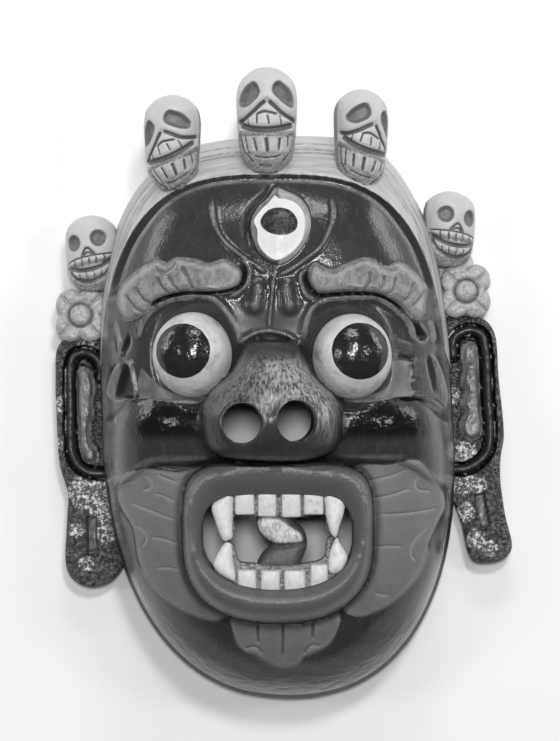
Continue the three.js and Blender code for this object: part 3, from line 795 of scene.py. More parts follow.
class Finish:
    """A paint or lacquer, laid on by the piece's own millimetres."""

    def __init__(self, name):
        self.material = bpy.data.materials.new(name)
        self.material.use_nodes = True
        self.tree = self.material.node_tree
        self.shader = self.tree.nodes["Principled BSDF"]
        own = self.tree.nodes.new("ShaderNodeTexCoord")
        self.place = self.stretched(own.outputs["Object"], (1 / MM, 1 / MM, 1 / MM))

    def link(self, value, socket):
        if hasattr(value, "is_linked"):
            self.tree.links.new(value, socket)
        elif value is not None:
            socket.default_value = value

    def stretched(self, place, scale):
        node = self.tree.nodes.new("ShaderNodeMapping")
        node.inputs["Scale"].default_value = scale
        self.tree.links.new(place, node.inputs["Vector"])
        return node.outputs[0]

    def reckon(self, kind, a, b=None, c=None):
        node = self.tree.nodes.new("ShaderNodeMath")
        node.operation = kind
        for value, socket in zip((a, b, c), node.inputs):
            self.link(value, socket)
        return node.outputs[0]

    def plus(self, a, b):
        return self.reckon("ADD", a, b)

    def less(self, a, b):
        return self.reckon("SUBTRACT", a, b)

    def times(self, a, b):
        return self.reckon("MULTIPLY", a, b)

    def over(self, share, height, under):
        """A height laid over another by a share."""
        return self.reckon("MULTIPLY_ADD", share, height, under)

    def axes(self, place):
        node = self.tree.nodes.new("ShaderNodeSeparateXYZ")
        self.link(place, node.inputs[0])
        return node.outputs

    def spots(self, size, detail=2.0, rough=0.5, place=None, stretch=(1, 1, 1), swirl=0.0):
        node = self.tree.nodes.new("ShaderNodeTexNoise")
        node.inputs["Scale"].default_value = 1 / size
        node.inputs["Detail"].default_value = detail
        node.inputs["Roughness"].default_value = rough
        node.inputs["Distortion"].default_value = swirl
        self.tree.links.new(self.stretched(place or self.place, stretch), node.inputs["Vector"])
        return node.outputs["Fac"]

    def own(self, name, output="Fac"):
        node = self.tree.nodes.new("ShaderNodeAttribute")
        node.attribute_name = name
        return node.outputs[output]

    def span(self, value, low, high):
        """Eases from 0 to 1 as the value goes from low to high."""
        node = self.tree.nodes.new("ShaderNodeMapRange")
        node.interpolation_type = "SMOOTHSTEP"
        for number, socket in zip((value, low, high), node.inputs):
            self.link(number, socket)
        return node.outputs[0]

    def mix(self, share, a, b):
        node = self.tree.nodes.new("ShaderNodeMix")
        node.data_type = "FLOAT"
        for number, socket in zip((share, a, b), (node.inputs[0], node.inputs[2], node.inputs[3])):
            self.link(number, socket)
        return node.outputs[0]

    def raised(self, height, deep):
        node = self.tree.nodes.new("ShaderNodeBump")
        node.inputs["Strength"].default_value = 1.0
        node.inputs["Distance"].default_value = deep * MM
        self.link(height, node.inputs["Height"])
        return node.outputs[0]

    def done(self, tone, rough, normal):
        """Greys only, because the finish's hues aren't known."""
        self.link(tone, self.shader.inputs["Base Color"])
        self.link(rough, self.shader.inputs["Roughness"])
        self.link(normal, self.shader.inputs["Normal"])
        return self.material


def carved_lacquer():
    """The head's dark lacquer, with its wear and the painted areas laid over it."""
    f = Finish("carved_lacquer")
    wander = f.times(f.less(f.spots(3.0, 3), 0.5), 1.2)

    def area(name, soft=0.35):
        return f.span(f.plus(f.own(name), wander), -soft, soft)

    cloud = f.spots(32, 3, 0.6)
    brush = f.spots(5, 4, 0.65, stretch=(1, 0.35, 1))
    streak = f.spots(2.4, 4, 0.65, stretch=(1, 0.14, 1))
    fleck = f.spots(0.9, 3, 0.7)
    worn = f.span(f.own("worn"), 0.12, 0.85)
    # How far a point lies below its wider surroundings, for painted shade in the hollows
    deep = f.span(f.own("deep"), 0.5, 5.0)
    lips = f.span(f.own("lips"), -0.5, 1.0)
    worn = f.times(worn, f.mix(lips, 1.0, 0.25))
    # Lacquer, thinner and paler where it is worn, with painted shade on the cheeks and chin, the
    # lips, and a painted highlight on the nose
    tone = f.mix(cloud, 0.018, 0.042)
    tone = f.mix(f.span(brush, 0.5, 0.8), tone, 0.042)
    tone = f.mix(f.span(streak, 0.5, 0.85), tone, 0.06)
    tone = f.mix(f.times(worn, f.span(brush, 0.15, 0.6)), tone, 0.16)
    tone = f.times(tone, f.mix(f.own("shade_and_polish"), 1.0, 0.12))
    tone = f.mix(lips, tone, f.mix(cloud, 0.08, 0.112))
    nose = f.own("nose")
    highlight_streaks = f.span(f.spots(1.8, 4, 0.7, stretch=(1, 0.16, 1)), 0.38, 0.62)
    # A painted highlight: pale streaks on the nose's front and right wing
    tone = f.mix(f.times(f.own("nose_highlight"), highlight_streaks), tone, 0.3)
    rough = f.mix(nose, f.mix(brush, 0.12, 0.24), f.mix(streak, 0.12, 0.26))
    rough = f.mix(f.own("dull"), rough, 0.6)
    rough = f.mix(lips, rough, f.mix(brush, 0.22, 0.36))
    # Matte whiskers and beard, and satin brows
    hair = area("hair")
    hair_tone = f.mix(f.spots(12, 4, 0.6), 0.098, 0.158)
    hair_tone = f.mix(f.span(fleck, 0.35, 0.75), hair_tone, f.times(hair_tone, 1.3))
    hair_tone = f.mix(worn, hair_tone, 0.22)
    tone = f.mix(hair, tone, hair_tone)
    rough = f.mix(hair, rough, 0.58)
    brow = area("brow")
    brow_tone = f.mix(f.span(f.spots(4.0, 5, 0.65, stretch=(1, 0.6, 1)), 0.3, 0.7), 0.1, 0.22)
    tone = f.mix(brow, tone, f.mix(f.times(worn, 0.6), brow_tone, 0.32))
    rough = f.mix(brow, rough, f.mix(brush, 0.24, 0.42))
    tone = f.mix(f.times(f.own("scratch"), 0.6), tone, 0.34)
    # Under the eyes, and painted shade in the hollows of the carving, darker the deeper they lie
    lid = area("lid")
    tone = f.mix(lid, tone, f.mix(f.span(cloud, 0.35, 0.65), 0.07, 0.2))
    rough = f.mix(lid, rough, 0.42)
    tone = f.times(tone, f.mix(deep, 1.0, 0.3))
    rough = f.mix(deep, rough, 0.5)
    # Crown band, its grain and cut lines following the edge
    grain = f.spots(1.0, 4, 0.6, place=f.own("grain", "Vector"), stretch=(0.9, 0.05, 1))
    band = area("band", 0.3)
    band_tone = f.mix(f.span(grain, 0.25, 0.75), 0.32, 0.5)
    outward = f.axes(f.own("grain", "Vector"))[0]
    for at in CROWN_LINES:
        gap = f.reckon("ABSOLUTE", f.less(outward, at))
        line = f.times(f.span(gap, 0.75, 0.2), f.span(brush, 0.3, 0.6))
        band_tone = f.mix(line, band_tone, 0.2)
    tone = f.mix(band, tone, band_tone)
    rough = f.mix(band, rough, 0.5)
    # Third eye; its rim is pale on the right side only, a painted highlight
    rim = f.span(f.own("third_rim_highlight"), -0.3, 0.5)
    tone = f.mix(rim, tone, f.mix(streak, 0.16, 0.4))
    white = f.span(f.own("third_white"), -0.25, 0.25)
    tone = f.mix(white, tone, f.mix(brush, 0.52, 0.68))
    rough = f.mix(white, rough, 0.35)
    dark = f.span(f.own("third_pupil"), -0.25, 0.25)
    tone = f.mix(dark, tone, f.mix(f.span(f.spots(1.6, 4, 0.7), 0.4, 0.7), 0.01, 0.08))
    rough = f.mix(dark, rough, 0.3)
    # Near-black painted shade in the grooves, the pits and the rim line, and bare wood behind
    crease = f.span(f.own("crease"), -0.2, 0.35)
    tone = f.mix(crease, tone, 0.006)
    rough = f.mix(crease, rough, 0.5)
    bare = f.span(f.own("bare"), 0.4, 0.6)
    wood = f.spots(2.0, 5, 0.6, stretch=(1, 0.08, 1))
    tone = f.mix(bare, tone, f.mix(wood, 0.16, 0.3))
    rough = f.mix(bare, rough, 0.8)
    # Brush marks and runs in the lacquer, too small to carve
    spark = f.own("spark")
    small = f.spots(1.6, 3, 0.6)
    height = f.plus(f.times(brush, 0.5), f.times(f.spots(2.2, 2), 0.35))
    height = f.over(spark, f.times(small, 3.0), height)
    height = f.over(band, f.times(grain, 0.5), height)
    height = f.over(hair, f.times(fleck, 0.35), height)
    height = f.over(streak, f.mix(nose, 0.5, 1.5), height)
    height = f.over(lips, f.times(small, 1.3), height)
    height = f.over(f.own("shade_and_polish"), f.times(f.spots(7, 2), 3.0), height)
    height = f.over(brow, f.times(small, 1.6), height)
    f.shader.inputs["IOR"].default_value = 1.42
    return f.done(tone, rough, f.raised(height, 0.28))


def eye_paint():
    """Stained white with a glossy black pupil on each eyeball."""
    f = Finish("eye_paint")
    x, y, _ = f.axes(f.place)
    edge = None
    for cx, cy, radius in PUPILS:
        dx = f.less(x, cx + MIDDLE[0])
        dy = f.less(y, cy + MIDDLE[1])
        gap = f.reckon("SQRT", f.plus(f.times(dx, dx), f.times(dy, dy)))
        gap = f.less(gap, radius)
        edge = gap if edge is None else f.reckon("MINIMUM", edge, gap)
    edge = f.plus(edge, f.times(f.less(f.spots(6, 2), 0.5), 0.8))
    white = f.span(edge, -0.25, 0.3)
    brush = f.spots(7, 4, 0.6, stretch=(1, 0.6, 1))
    stain = f.span(f.spots(16, 3, 0.65), 0.5, 0.75)
    tone = f.mix(stain, f.mix(brush, 0.38, 0.64), 0.26)
    tone = f.mix(white, f.mix(f.spots(5, 3), 0.006, 0.02), tone)
    rough = f.mix(white, 0.16, 0.42)
    height = f.plus(f.times(f.spots(4.5, 3), 1.2), f.times(brush, 0.3))
    return f.done(tone, rough, f.raised(height, 0.5))


def tooth_enamel(name, share):
    """Brushed white, dimmed by a share."""
    f = Finish(name)
    brush = f.spots(3.0, 4, 0.6, stretch=(1, 0.4, 1))
    stain = f.span(f.spots(5.0, 3, 0.6), 0.52, 0.8)
    tone = f.mix(stain, f.mix(brush, 0.5 * share, 0.66 * share), 0.38 * share)
    return f.done(tone, 0.32, f.raised(brush, 0.35))


def gum_paint():
    """Dark, blotched paint between the teeth."""
    f = Finish("gum_paint")
    blotch = f.spots(1.8, 4, 0.7)
    tone = f.mix(f.span(blotch, 0.35, 0.7), 0.05, 0.36)
    return f.done(tone, 0.45, f.raised(blotch, 0.7))


def tongue_lacquer():
    """Dark lacquer, with a painted highlight in pale streaks on its upper side."""
    f = Finish("tongue_lacquer")
    brush = f.spots(2.0, 4, 0.7, stretch=(1, 0.5, 1))
    painted_highlight = f.own("painted_highlight")
    tone = f.mix(painted_highlight, 0.05, f.mix(f.span(brush, 0.3, 0.65), 0.2, 0.62))
    rough = f.mix(painted_highlight, 0.4, 0.3)
    return f.done(tone, rough, f.raised(brush, 0.6))


def pale_paint():
    """The skulls' and rosettes' pale paint, darker on the jaws as glaze and painted shade, with
    dark sockets, and painted shade in the cuts and on turned skulls' sides.
    """
    f = Finish("pale_paint")
    cloud = f.spots(9, 4, 0.6)
    scuff = f.spots(1.6, 4, 0.7)
    jaw = f.own("jaw")
    side = f.own("side")
    cutting = f.own("cutting")
    hole = f.own("hole")
    tone = f.mix(cloud, 0.4, 0.5)
    glaze = f.mix(f.span(scuff, 0.3, 0.7), 0.16, 0.42)
    # The jaw's darker glaze is partly its own colour, partly painted shade where it turns down and
    # away
    tone = f.mix(jaw, tone, glaze)
    # Painted shade on the sides of a turned skull
    tone = f.mix(side, tone, f.mix(scuff, 0.12, 0.26))
    tone = f.mix(hole, tone, f.mix(f.spots(2.4, 3, 0.6), 0.06, 0.18))
    # Cut lines and the mouth band painted dark: painted shade
    tone = f.mix(f.span(cutting, 0.2, 0.75), tone, f.mix(scuff, 0.03, 0.12))
    rough = f.mix(jaw, 0.45, 0.22)
    height = f.plus(f.times(scuff, 0.8), f.times(f.spots(4, 2), 0.8))
    height = f.times(height, f.mix(jaw, 0.5, 1.3))
    return f.done(tone, rough, f.raised(height, 0.35))


def pitted_lacquer():
    """The ears' pitted black lacquer, with smoother tube and strip, and pale flecks painted as
    glints, dense in patches.
    """
    f = Finish("pitted_lacquer")
    pits = f.spots(2.3, 3, 0.65, swirl=0.8)
    lumps = f.spots(5.0, 3, 0.6)
    tube, strip, channel = f.own("tube"), f.own("strip"), f.own("channel")
    painted_glints = f.span(f.plus(f.own("painted_glints"), f.less(f.spots(7, 3), 0.5)), 0.2, 0.7)
    # Pale flecks are painted glints: highlights, sparse all over and dense in patches
    dots = f.span(pits, 0.46, 0.6)
    tone = f.mix(dots, f.mix(f.spots(8, 3), 0.008, 0.03), 0.12)
    tone = f.mix(painted_glints, tone, f.mix(f.span(pits, 0.46, 0.62), 0.07, 0.74))
    tone = f.mix(tube, tone, f.mix(lumps, 0.012, 0.045))
    brushed = f.span(f.spots(3, 4, 0.6, stretch=(1, 0.12, 1)), 0.3, 0.7)
    tone = f.mix(strip, tone, f.mix(brushed, 0.05, 0.2))
    # The channel beside the tube is near-black: painted shade
    tone = f.mix(channel, tone, 0.006)
    plain = f.reckon("MINIMUM", f.plus(tube, f.plus(strip, channel)), 1.0)
    rough = f.mix(f.spots(2.2, 3), 0.14, 0.34)
    rough = f.mix(plain, rough, 0.24)
    height = f.plus(f.times(pits, 2.2), f.times(lumps, 1.6))
    height = f.times(height, f.mix(plain, 1.0, 0.18))
    return f.done(tone, rough, f.raised(height, 0.8))


# ------------------------------------------------------------------ eyes, teeth and tongue

# Each tooth's left side, right side and tip, and each row's root and lean.
UPPER_TEETH = (
    (-29.9, -17.8, -82.5), (-15.5, -3.9, -83.7), (-0.7, 11.3, -84.1), (13.3, 25.7, -82.5),
)
LOWER_TEETH = (
    (-28.3, -16.3, -116.9), (-13.8, -1.5, -117.3), (0.9, 14.5, -117.3), (17.3, 28.5, -113.5),
)
UPPER_ROOT, UPPER_LEAN = -58, 0.012
LOWER_ROOT, LOWER_LEAN = -134, 0.015
TOOTH_LEVEL, TOOTH_THICK, TOOTH_ROUND = 119, 18, 1.5
FANG_LEVELS = (110, 129.5)
GUM_LEVELS = (108, 124.5)
TONGUE_LEVELS, TONGUE_FRONT = (104, 123), 116
FANGS = (
    ((-44.3, -76.9), (-38.7, -71), (-35.5, -69), (-32.3, -68.6), (-31.6, -89.7), (-31.8, -97.3),
     (-33.9, -98.4), (-36.7, -98.7), (-38.7, -96.1), (-41.9, -87.3)),
    ((-43.5, -113.7), (-39.9, -104.9), (-35.5, -99.9), (-32.3, -100.9), (-31.5, -108.9),
     (-30.1, -123.7), (-35.5, -121.7), (-41.1, -117.7)),
    ((26.9, -68.9), (32.5, -67.5), (38.9, -72.0), (38.5, -80.9), (35.7, -89.7), (33.5, -96.5),
     (31.1, -95.3), (27.7, -84.9), (26.9, -78.5)),
    ((34.1, -96.9), (36.5, -100.9), (40.7, -108.9), (38.5, -115.3), (34.9, -118.9), (29.7, -118.5),
     (28.9, -111.3), (30.5, -103.3)),
)
GUMS = (
    ((-31.4, -60), (-31.6, -93.4), (-30.2, -93.4), (-29.8, -83), (-16.4, -83.4), (-3.5, -84.3),
     (12.6, -83.8), (26.3, -82.4), (27.7, -90.2), (31.1, -96.6), (30.4, -85.4), (27.5, -60)),
    ((-31.6, -101.5), (-29.4, -107), (-27.6, -111.9), (-15.6, -113.7), (-3.5, -114.9),
     (12.6, -113.7), (25.8, -109.9), (27.6, -101.5), (29.3, -97), (31.1, -96.8), (30.6, -106.3),
     (40, -114), (36, -128), (28, -138), (-28, -138), (-40, -126), (-43, -116)),
)
TONGUE = ((-15.5, -80), (-16.3, -90), (-13.1, -96.4), (-7.5, -101.6), (-12.3, -106.8),
          (-15.9, -113.3), (-16.3, -122), (10.2, -122), (11.4, -112.5), (15, -103.6),
          (15.1, -97.2), (12.6, -91.6), (6.9, -86.4), (6.1, -80))
# The tongue's upper side, where the painted highlight lies
TONGUE_HIGHLIGHT = ((-14.7, -85.2), (-15.5, -90.4), (-11.5, -96.4), (-4.3, -100.2), (9.4, -100.2),
                 (12.6, -99.4), (11.4, -94.8), (4.5, -90), (-2.7, -85.2))
TONGUE_FOLD = ((-7.5, -101.2), (-1.1, -102.4), (4.5, -101.6), (15, -100.4))


def ball(cx, cy, cz, rx, ry, rz, paint):
    bm = bmesh.new()
    bmesh.ops.create_uvsphere(bm, u_segments=72, v_segments=44, radius=1.0)
    bmesh.ops.scale(bm, vec=(rx, ry, rz), verts=bm.verts)
    bmesh.ops.translate(bm, vec=(cx, cy, cz), verts=bm.verts)
    made = from_bmesh("ball", bm)
    made.data.materials.append(paint)
    return made


def slab(path, low, high):
    """A flat-sided solid standing on a closed outline."""
    bm = bmesh.new()
    verts = [bm.verts.new((px, py, low)) for px, py in path[:-1]]
    face = bm.faces.new(verts)
    made = bmesh.ops.extrude_face_region(bm, geom=[face])
    for item in made["geom"]:
        if isinstance(item, bmesh.types.BMVert):
            item.co.z = high
    bmesh.ops.recalc_face_normals(bm, faces=bm.faces)
    return bm


def pillow(points, low, top, paint, bulge, edge, spacing=0.8, extra=None):
    """A solid with a soft, rounded front over a smooth closed outline."""
    path = smooth_path(points, True, 1.0)

    def height(x, y):
        deep = depth_in(x, y, path, edge)
        return top - bulge * (1 - rounding(deep / edge))

    shape = height if extra is None else lambda x, y: height(x, y) + extra(x, y)
    made = carved_block(path, shape, low, spacing)
    made.data.materials.append(paint)
    return made


def carved_block(path, height, low, spacing):
    """A board cut to an outline, its front carved to a height."""
    (x0, y0), (x1, y1) = path.min(0) - 1.2, path.max(0) + 1.2
    bm = bmesh.new()
    across, along = int((x1 - x0) / spacing), int((y1 - y0) / spacing)
    bmesh.ops.create_grid(bm, x_segments=across, y_segments=along, size=1.0)
    uv = bm_xy(bm)
    x = (x0 + x1) / 2 + uv[:, 0] * (x1 - x0) / 2
    y = (y0 + y1) / 2 + uv[:, 1] * (y1 - y0) / 2
    z = height(x, y)
    for vert, cx, cy, cz in zip(bm.verts, x, y, z):
        vert.co = (cx, cy, cz)
    close_below(bm, low)
    block = from_bmesh("block", bm)
    cut(block, from_bmesh("outline", slab(path, low - 2, float(z.max()) + 5)), "INTERSECT")
    block.data.materials.clear()
    return block


def tooth(left, right, root, tip, paint, lean):
    """A square tooth with rounded edges, leaning a little."""
    bm = bmesh.new()
    bmesh.ops.create_cube(bm, size=1.0)
    bmesh.ops.scale(bm, vec=(right - left, abs(root - tip), TOOTH_THICK), verts=bm.verts)
    bmesh.ops.bevel(bm, geom=bm.edges[:], offset=TOOTH_ROUND, affect="EDGES", segments=4,
                    profile=0.5, material=-1)
    bmesh.ops.rotate(bm, matrix=Matrix.Rotation(lean, 3, "Z"), verts=bm.verts)
    middle = ((left + right) / 2, (root + tip) / 2, TOOTH_LEVEL)
    bmesh.ops.translate(bm, vec=middle, verts=bm.verts)
    made = from_bmesh("tooth", bm)
    made.data.materials.append(paint)
    return made


def make_teeth():
    """Two rows of square teeth, four fangs and the gums that hold them."""
    # The lower row's white is dimmed as painted shade
    upper, lower = tooth_enamel("upper_teeth", 1.0), tooth_enamel("shaded_lower_teeth", 0.78)
    gums = gum_paint()
    parts = []
    for row, root, paint, lean in ((UPPER_TEETH, UPPER_ROOT, upper, UPPER_LEAN),
                                   (LOWER_TEETH, LOWER_ROOT, lower, LOWER_LEAN)):
        for i, (left, right, tip) in enumerate(row):
            parts.append(tooth(left, right, root, tip, paint, lean * (-1) ** i))
    for points in FANGS:
        parts.append(pillow(points, *FANG_LEVELS, upper, bulge=2.4, edge=4.0))
    for points in GUMS:
        parts.append(pillow(points, *GUM_LEVELS, gums, bulge=1.5, edge=2.5))
    return parts


def make_tongue():
    """A tongue raised in a fold, with a painted highlight on its upper side."""
    paint = tongue_lacquer()
    fold = smooth_path(TONGUE_FOLD)

    def extra(x, y):
        away, _ = near(x, y, fold, 8)
        return -1.8 * np.exp(-(away / 1.6) ** 2) + 0.4 * np.sin(y / 3.1)

    made = pillow(TONGUE, *TONGUE_LEVELS, paint, bulge=5, edge=7, extra=extra)
    data = coords(made.data)
    deep = depth_in(data[:, 0], data[:, 1], smooth_path(TONGUE_HIGHLIGHT, True), 4)
    front = data[:, 2] > TONGUE_FRONT
    paint_on(made.data, "painted_highlight", ease(-0.3, 0.8, deep) * front)
    return made


def paint_on(mesh, name, values):
    """Keeps a number for each vertex, for the finish to read."""
    kept = mesh.attributes.new(name, "FLOAT", "POINT")
    kept.data.foreach_set("value", np.ascontiguousarray(values, np.float32))


def paint_vectors(mesh, name, values):
    kept = mesh.attributes.new(name, "FLOAT_VECTOR", "POINT")
    kept.data.foreach_set("vector", np.ascontiguousarray(values, np.float32).ravel())


# ------------------------------------------------------------------ skulls

SKULL_OUTLINE = (
    (0, 0), (0.42, 0.01), (0.6, 0.06), (0.74, 0.11), (0.87, 0.18), (0.93, 0.28), (0.96, 0.38),
    (0.985, 0.5), (1, 0.62), (1, 0.72), (0.97, 0.79), (0.9, 0.85), (0.75, 0.905), (0.55, 0.95),
    (0.3, 0.985), (0, 1),
)
# Carving on a skull's front, as (share of the half width, share of the height).
SKULL_SOCKETS = (
    ((-0.52, 0.85), (-0.36, 0.83), (-0.22, 0.75), (-0.28, 0.7), (-0.49, 0.64), (-0.65, 0.61),
     (-0.88, 0.61), (-0.93, 0.64), (-0.9, 0.7), (-0.83, 0.76), (-0.68, 0.82)),
    ((0.48, 0.857), (0.66, 0.82), (0.82, 0.765), (0.92, 0.64), (0.85, 0.6), (0.66, 0.62),
     (0.42, 0.67), (0.19, 0.74), (0.18, 0.79), (0.29, 0.84)),
)
# Cut lines, as (points, half width in thousandths of the height, depth in the same).
SKULL_CUTS = (
    (((-0.02, 0.67), (-0.25, 0.62), (-0.49, 0.56), (-0.81, 0.493), (-0.98, 0.47)), 22, 28),
    (((0.03, 0.67), (0.29, 0.61), (0.56, 0.545), (0.82, 0.508), (0.98, 0.48)), 22, 28),
    (((-0.375, 0.537), (-0.1, 0.563), (0.084, 0.556), (0.373, 0.541)), 13, 14),
    (((-0.65, 0.5), (-0.65, 0.44)), 8, 8),
    (((-0.336, 0.535), (-0.345, 0.446)), 10, 12),
    (((0.02, 0.535), (0.084, 0.446)), 10, 12),
    (((0.44, 0.53), (0.52, 0.44)), 9, 10),
    (((-0.93, 0.45), (-0.55, 0.41), (-0.05, 0.398), (0.42, 0.41), (0.92, 0.45)), 31, 36),
    (((-0.44, 0.325), (-0.36, 0.192)), 14, 16),
    (((-0.02, 0.324), (0.04, 0.184)), 18, 20),
    (((0.45, 0.324), (0.44, 0.205)), 16, 18),
    (((0.71, 0.35), (0.73, 0.24)), 10, 9),
    (((-0.73, 0.345), (-0.65, 0.177)), 10, 10),
    (((-0.9, 0.35), (-0.81, 0.206), (-0.62, 0.1)), 12, 14),
    (((0.95, 0.35), (0.9, 0.206), (0.71, 0.11)), 12, 14),
    (((-0.5, 0.16), (-0.23, 0.14), (0.19, 0.14), (0.56, 0.165)), 9, 10),
    (((-0.42, 0.075), (-0.1, 0.06), (0.3, 0.065)), 10, 12),
)
# The side skulls are plainer, with oval sockets and evenly cut teeth.
SIDE_SOCKETS = tuple(
    tuple((middle + 0.3 * math.cos(t * math.pi / 5), 0.66 + 0.115 * math.sin(t * math.pi / 5))
          for t in range(10)) for middle in (-0.5, 0.5))
SIDE_CUTS = (
    (((-0.3, 0.455), (0, 0.56), (0.3, 0.455)), 18, 22),
    (((-0.2, 0.47), (0, 0.5), (0.2, 0.47)), 18, 14),
    (((-0.95, 0.42), (-0.5, 0.445), (0, 0.45), (0.5, 0.445), (0.95, 0.42)), 11, 14),
    (((-0.92, 0.37), (-0.45, 0.29), (0, 0.275), (0.45, 0.29), (0.92, 0.37)), 30, 36),
    (((-0.9, 0.34), (-0.6, 0.17), (0, 0.12), (0.6, 0.17), (0.9, 0.34)), 28, 30),
    *((((u, 0.435), (u, 0.32)), 12, 12) for u in (-0.62, -0.3, 0, 0.3, 0.62)),
    *((((u, 0.245), (u, 0.16)), 11, 12) for u in (-0.5, -0.2, 0.12, 0.42)),
)
SKULL_MARKS = ("hole", "cutting", "jaw", "side")
# Steps round a skull and rows up it.
CROWN_MESH, SIDE_MESH = (150, 128), (104, 92)
# Each crown skull's node, foot, level, gaze (turn, roll, drop), width, height and depth.
CROWN_SKULLS = (
    ("crown_skull_left", -70.9, 123.9, 76, (-0.18, 0.33, 3.6), 36.4, 62, 34),
    ("crown_skull_centre", -10.1, 134.5, 80, (0, 0, 0), 38.8, 69, 35),
    ("crown_skull_right", 50.5, 125.2, 76, (0.34, -0.30, 1.8), 35, 64.3, 34),
)


def skull_map(data, spot, gaze, width, height, depth):
    """Each point's place on the carved front, rolled out flat: across and up, in millimetres."""
    turn, roll, drop = gaze
    x = data[:, 0] - spot[0]
    y = data[:, 1] - spot[1]
    z = (data[:, 2] - spot[2]) * width / depth
    angle = (np.arctan2(x, z) - turn + math.pi) % (2 * math.pi) - math.pi
    across = angle * width / 2
    up = y - height / 2 + drop
    c, s = math.cos(-roll), math.sin(-roll)
    return across * c - up * s, across * s + up * c + height / 2, angle


def skull_line(points, width, height, closed=False):
    """A line on a skull's front, rolled out flat."""
    flat = [(math.asin(max(-1, min(1, u))) * width / 2, h * height) for u, h in points]
    return smooth_path(flat, closed, 0.7)


def skull_piece(spot, gaze, width, height, depth, steps, rows, paint, sockets, cuts):
    """A skull turned from its outline, then carved on the side it looks to."""
    bm = bmesh.new()
    outline = [(u * width / 2, h * height) for u, h in SKULL_OUTLINE]
    line = smooth_path(outline, False, height / rows)
    line[0, 0] = line[-1, 0] = 0
    verts = [bm.verts.new((max(r, 0), h, 0)) for r, h in line]
    edges = [bm.edges.new(pair) for pair in zip(verts, verts[1:])]
    bmesh.ops.spin(bm, geom=verts + edges, axis=(0, 1, 0), cent=(0, 0, 0), steps=steps,
                   angle=2 * math.pi, use_merge=True)
    bmesh.ops.remove_doubles(bm, verts=bm.verts, dist=0.02)
    bmesh.ops.scale(bm, vec=(1, 1, depth / width), verts=bm.verts)
    bmesh.ops.translate(bm, vec=spot, verts=bm.verts)
    bmesh.ops.recalc_face_normals(bm, faces=bm.faces)
    bm.normal_update()
    data = np.array([v.co for v in bm.verts])
    normal = np.array([v.normal for v in bm.verts])
    across, up, _ = skull_map(data, spot, gaze, width, height, depth)
    rise = np.zeros(len(data))
    for points in sockets:
        deep = depth_in(across, up, skull_line(points, width, height, True), 6)
        rise -= height * 0.05 * ease(-0.4, 2.8, deep)
    for points, half, deep in cuts:
        half *= height / 1000
        away, share = near(across, up, skull_line(points, width, height), half * 3)
        ends = 0.4 + 0.6 * ease(0, 0.12, share) * ease(0, 0.12, 1 - share)
        rise -= deep * height / 1000 * ends * np.exp(-(away / half) ** 2)
    teeth = ease(0.17, 0.2, up / height) * ease(0.34, 0.325, up / height)
    rise += height * 0.012 * teeth * ease(0.62, 0.5, np.abs(across) / width)
    rise += 0.25 * speckle(data, 7, 5) + 0.12 * speckle(data, 2.6, 6)
    data += normal * rise[:, None]
    for vert, at in zip(bm.verts, data):
        vert.co = at
    made = from_bmesh("skull", bm)
    made.data.materials.append(paint)
    return made


def skull_paint(made, pick, spot, gaze, width, height, depth, store, sockets, cuts):
    """Marks a skull's sockets, the painted shade in its cut lines, its jaw's glaze and painted
    shade, and the painted shade on its sides when turned.
    """
    data = coords(made.data)[pick]
    across, up, angle = skull_map(data, spot, gaze, width, height, depth)
    hole = np.zeros(len(data))
    for points in sockets:
        deep = depth_in(across, up, skull_line(points, width, height, True), 6)
        hole = np.maximum(hole, ease(-0.3, 0.5, deep))
    cutting = np.zeros(len(data))
    for points, half, _ in cuts:
        half *= height / 1000
        away, share = near(across, up, skull_line(points, width, height), half * 3)
        ends = ease(-0.05, 0.08, share) * ease(-0.05, 0.08, 1 - share)
        cutting = np.maximum(cutting, ends * np.exp(-(away / half) ** 4))
    share_up = up / height
    jaw = ease(0.4, 0.36, share_up)
    share_out = np.abs(across) / width
    # A dark band across the mouth joins the cuts' painted shade
    strip = ease(0.325, 0.34, share_up) * ease(0.41, 0.39, share_up) * ease(0.75, 0.6, share_out)
    cutting = np.maximum(cutting, 0.5 * strip)
    teeth = ease(0.16, 0.19, share_up) * ease(0.33, 0.32, share_up)
    jaw = jaw * (1 - 0.55 * teeth * ease(0.5, 0.42, share_out))
    side = ease(1.35, 1.5, np.abs(angle)) * ease(0.8, 0.7, share_up) * (gaze[0] != 0)
    for mark, values in zip(SKULL_MARKS, (hole, cutting, jaw, side)):
        store[mark][pick] = values


# ------------------------------------------------------------------ ears

BOARD_LOW, BOARD_TOP, STRUT_TOP = 4.0, 20.0, 15
# Half the width of the tube round the ear, and its height over the channel it lies in.
TUBE, TUBE_HEIGHT, CHANNEL = 2.9, 6.4, 5.0
STUD = 2.6
ROSETTE_TOP, ROSETTE_BOSS, ROSETTE_RING = 30, 7.2, 7.6
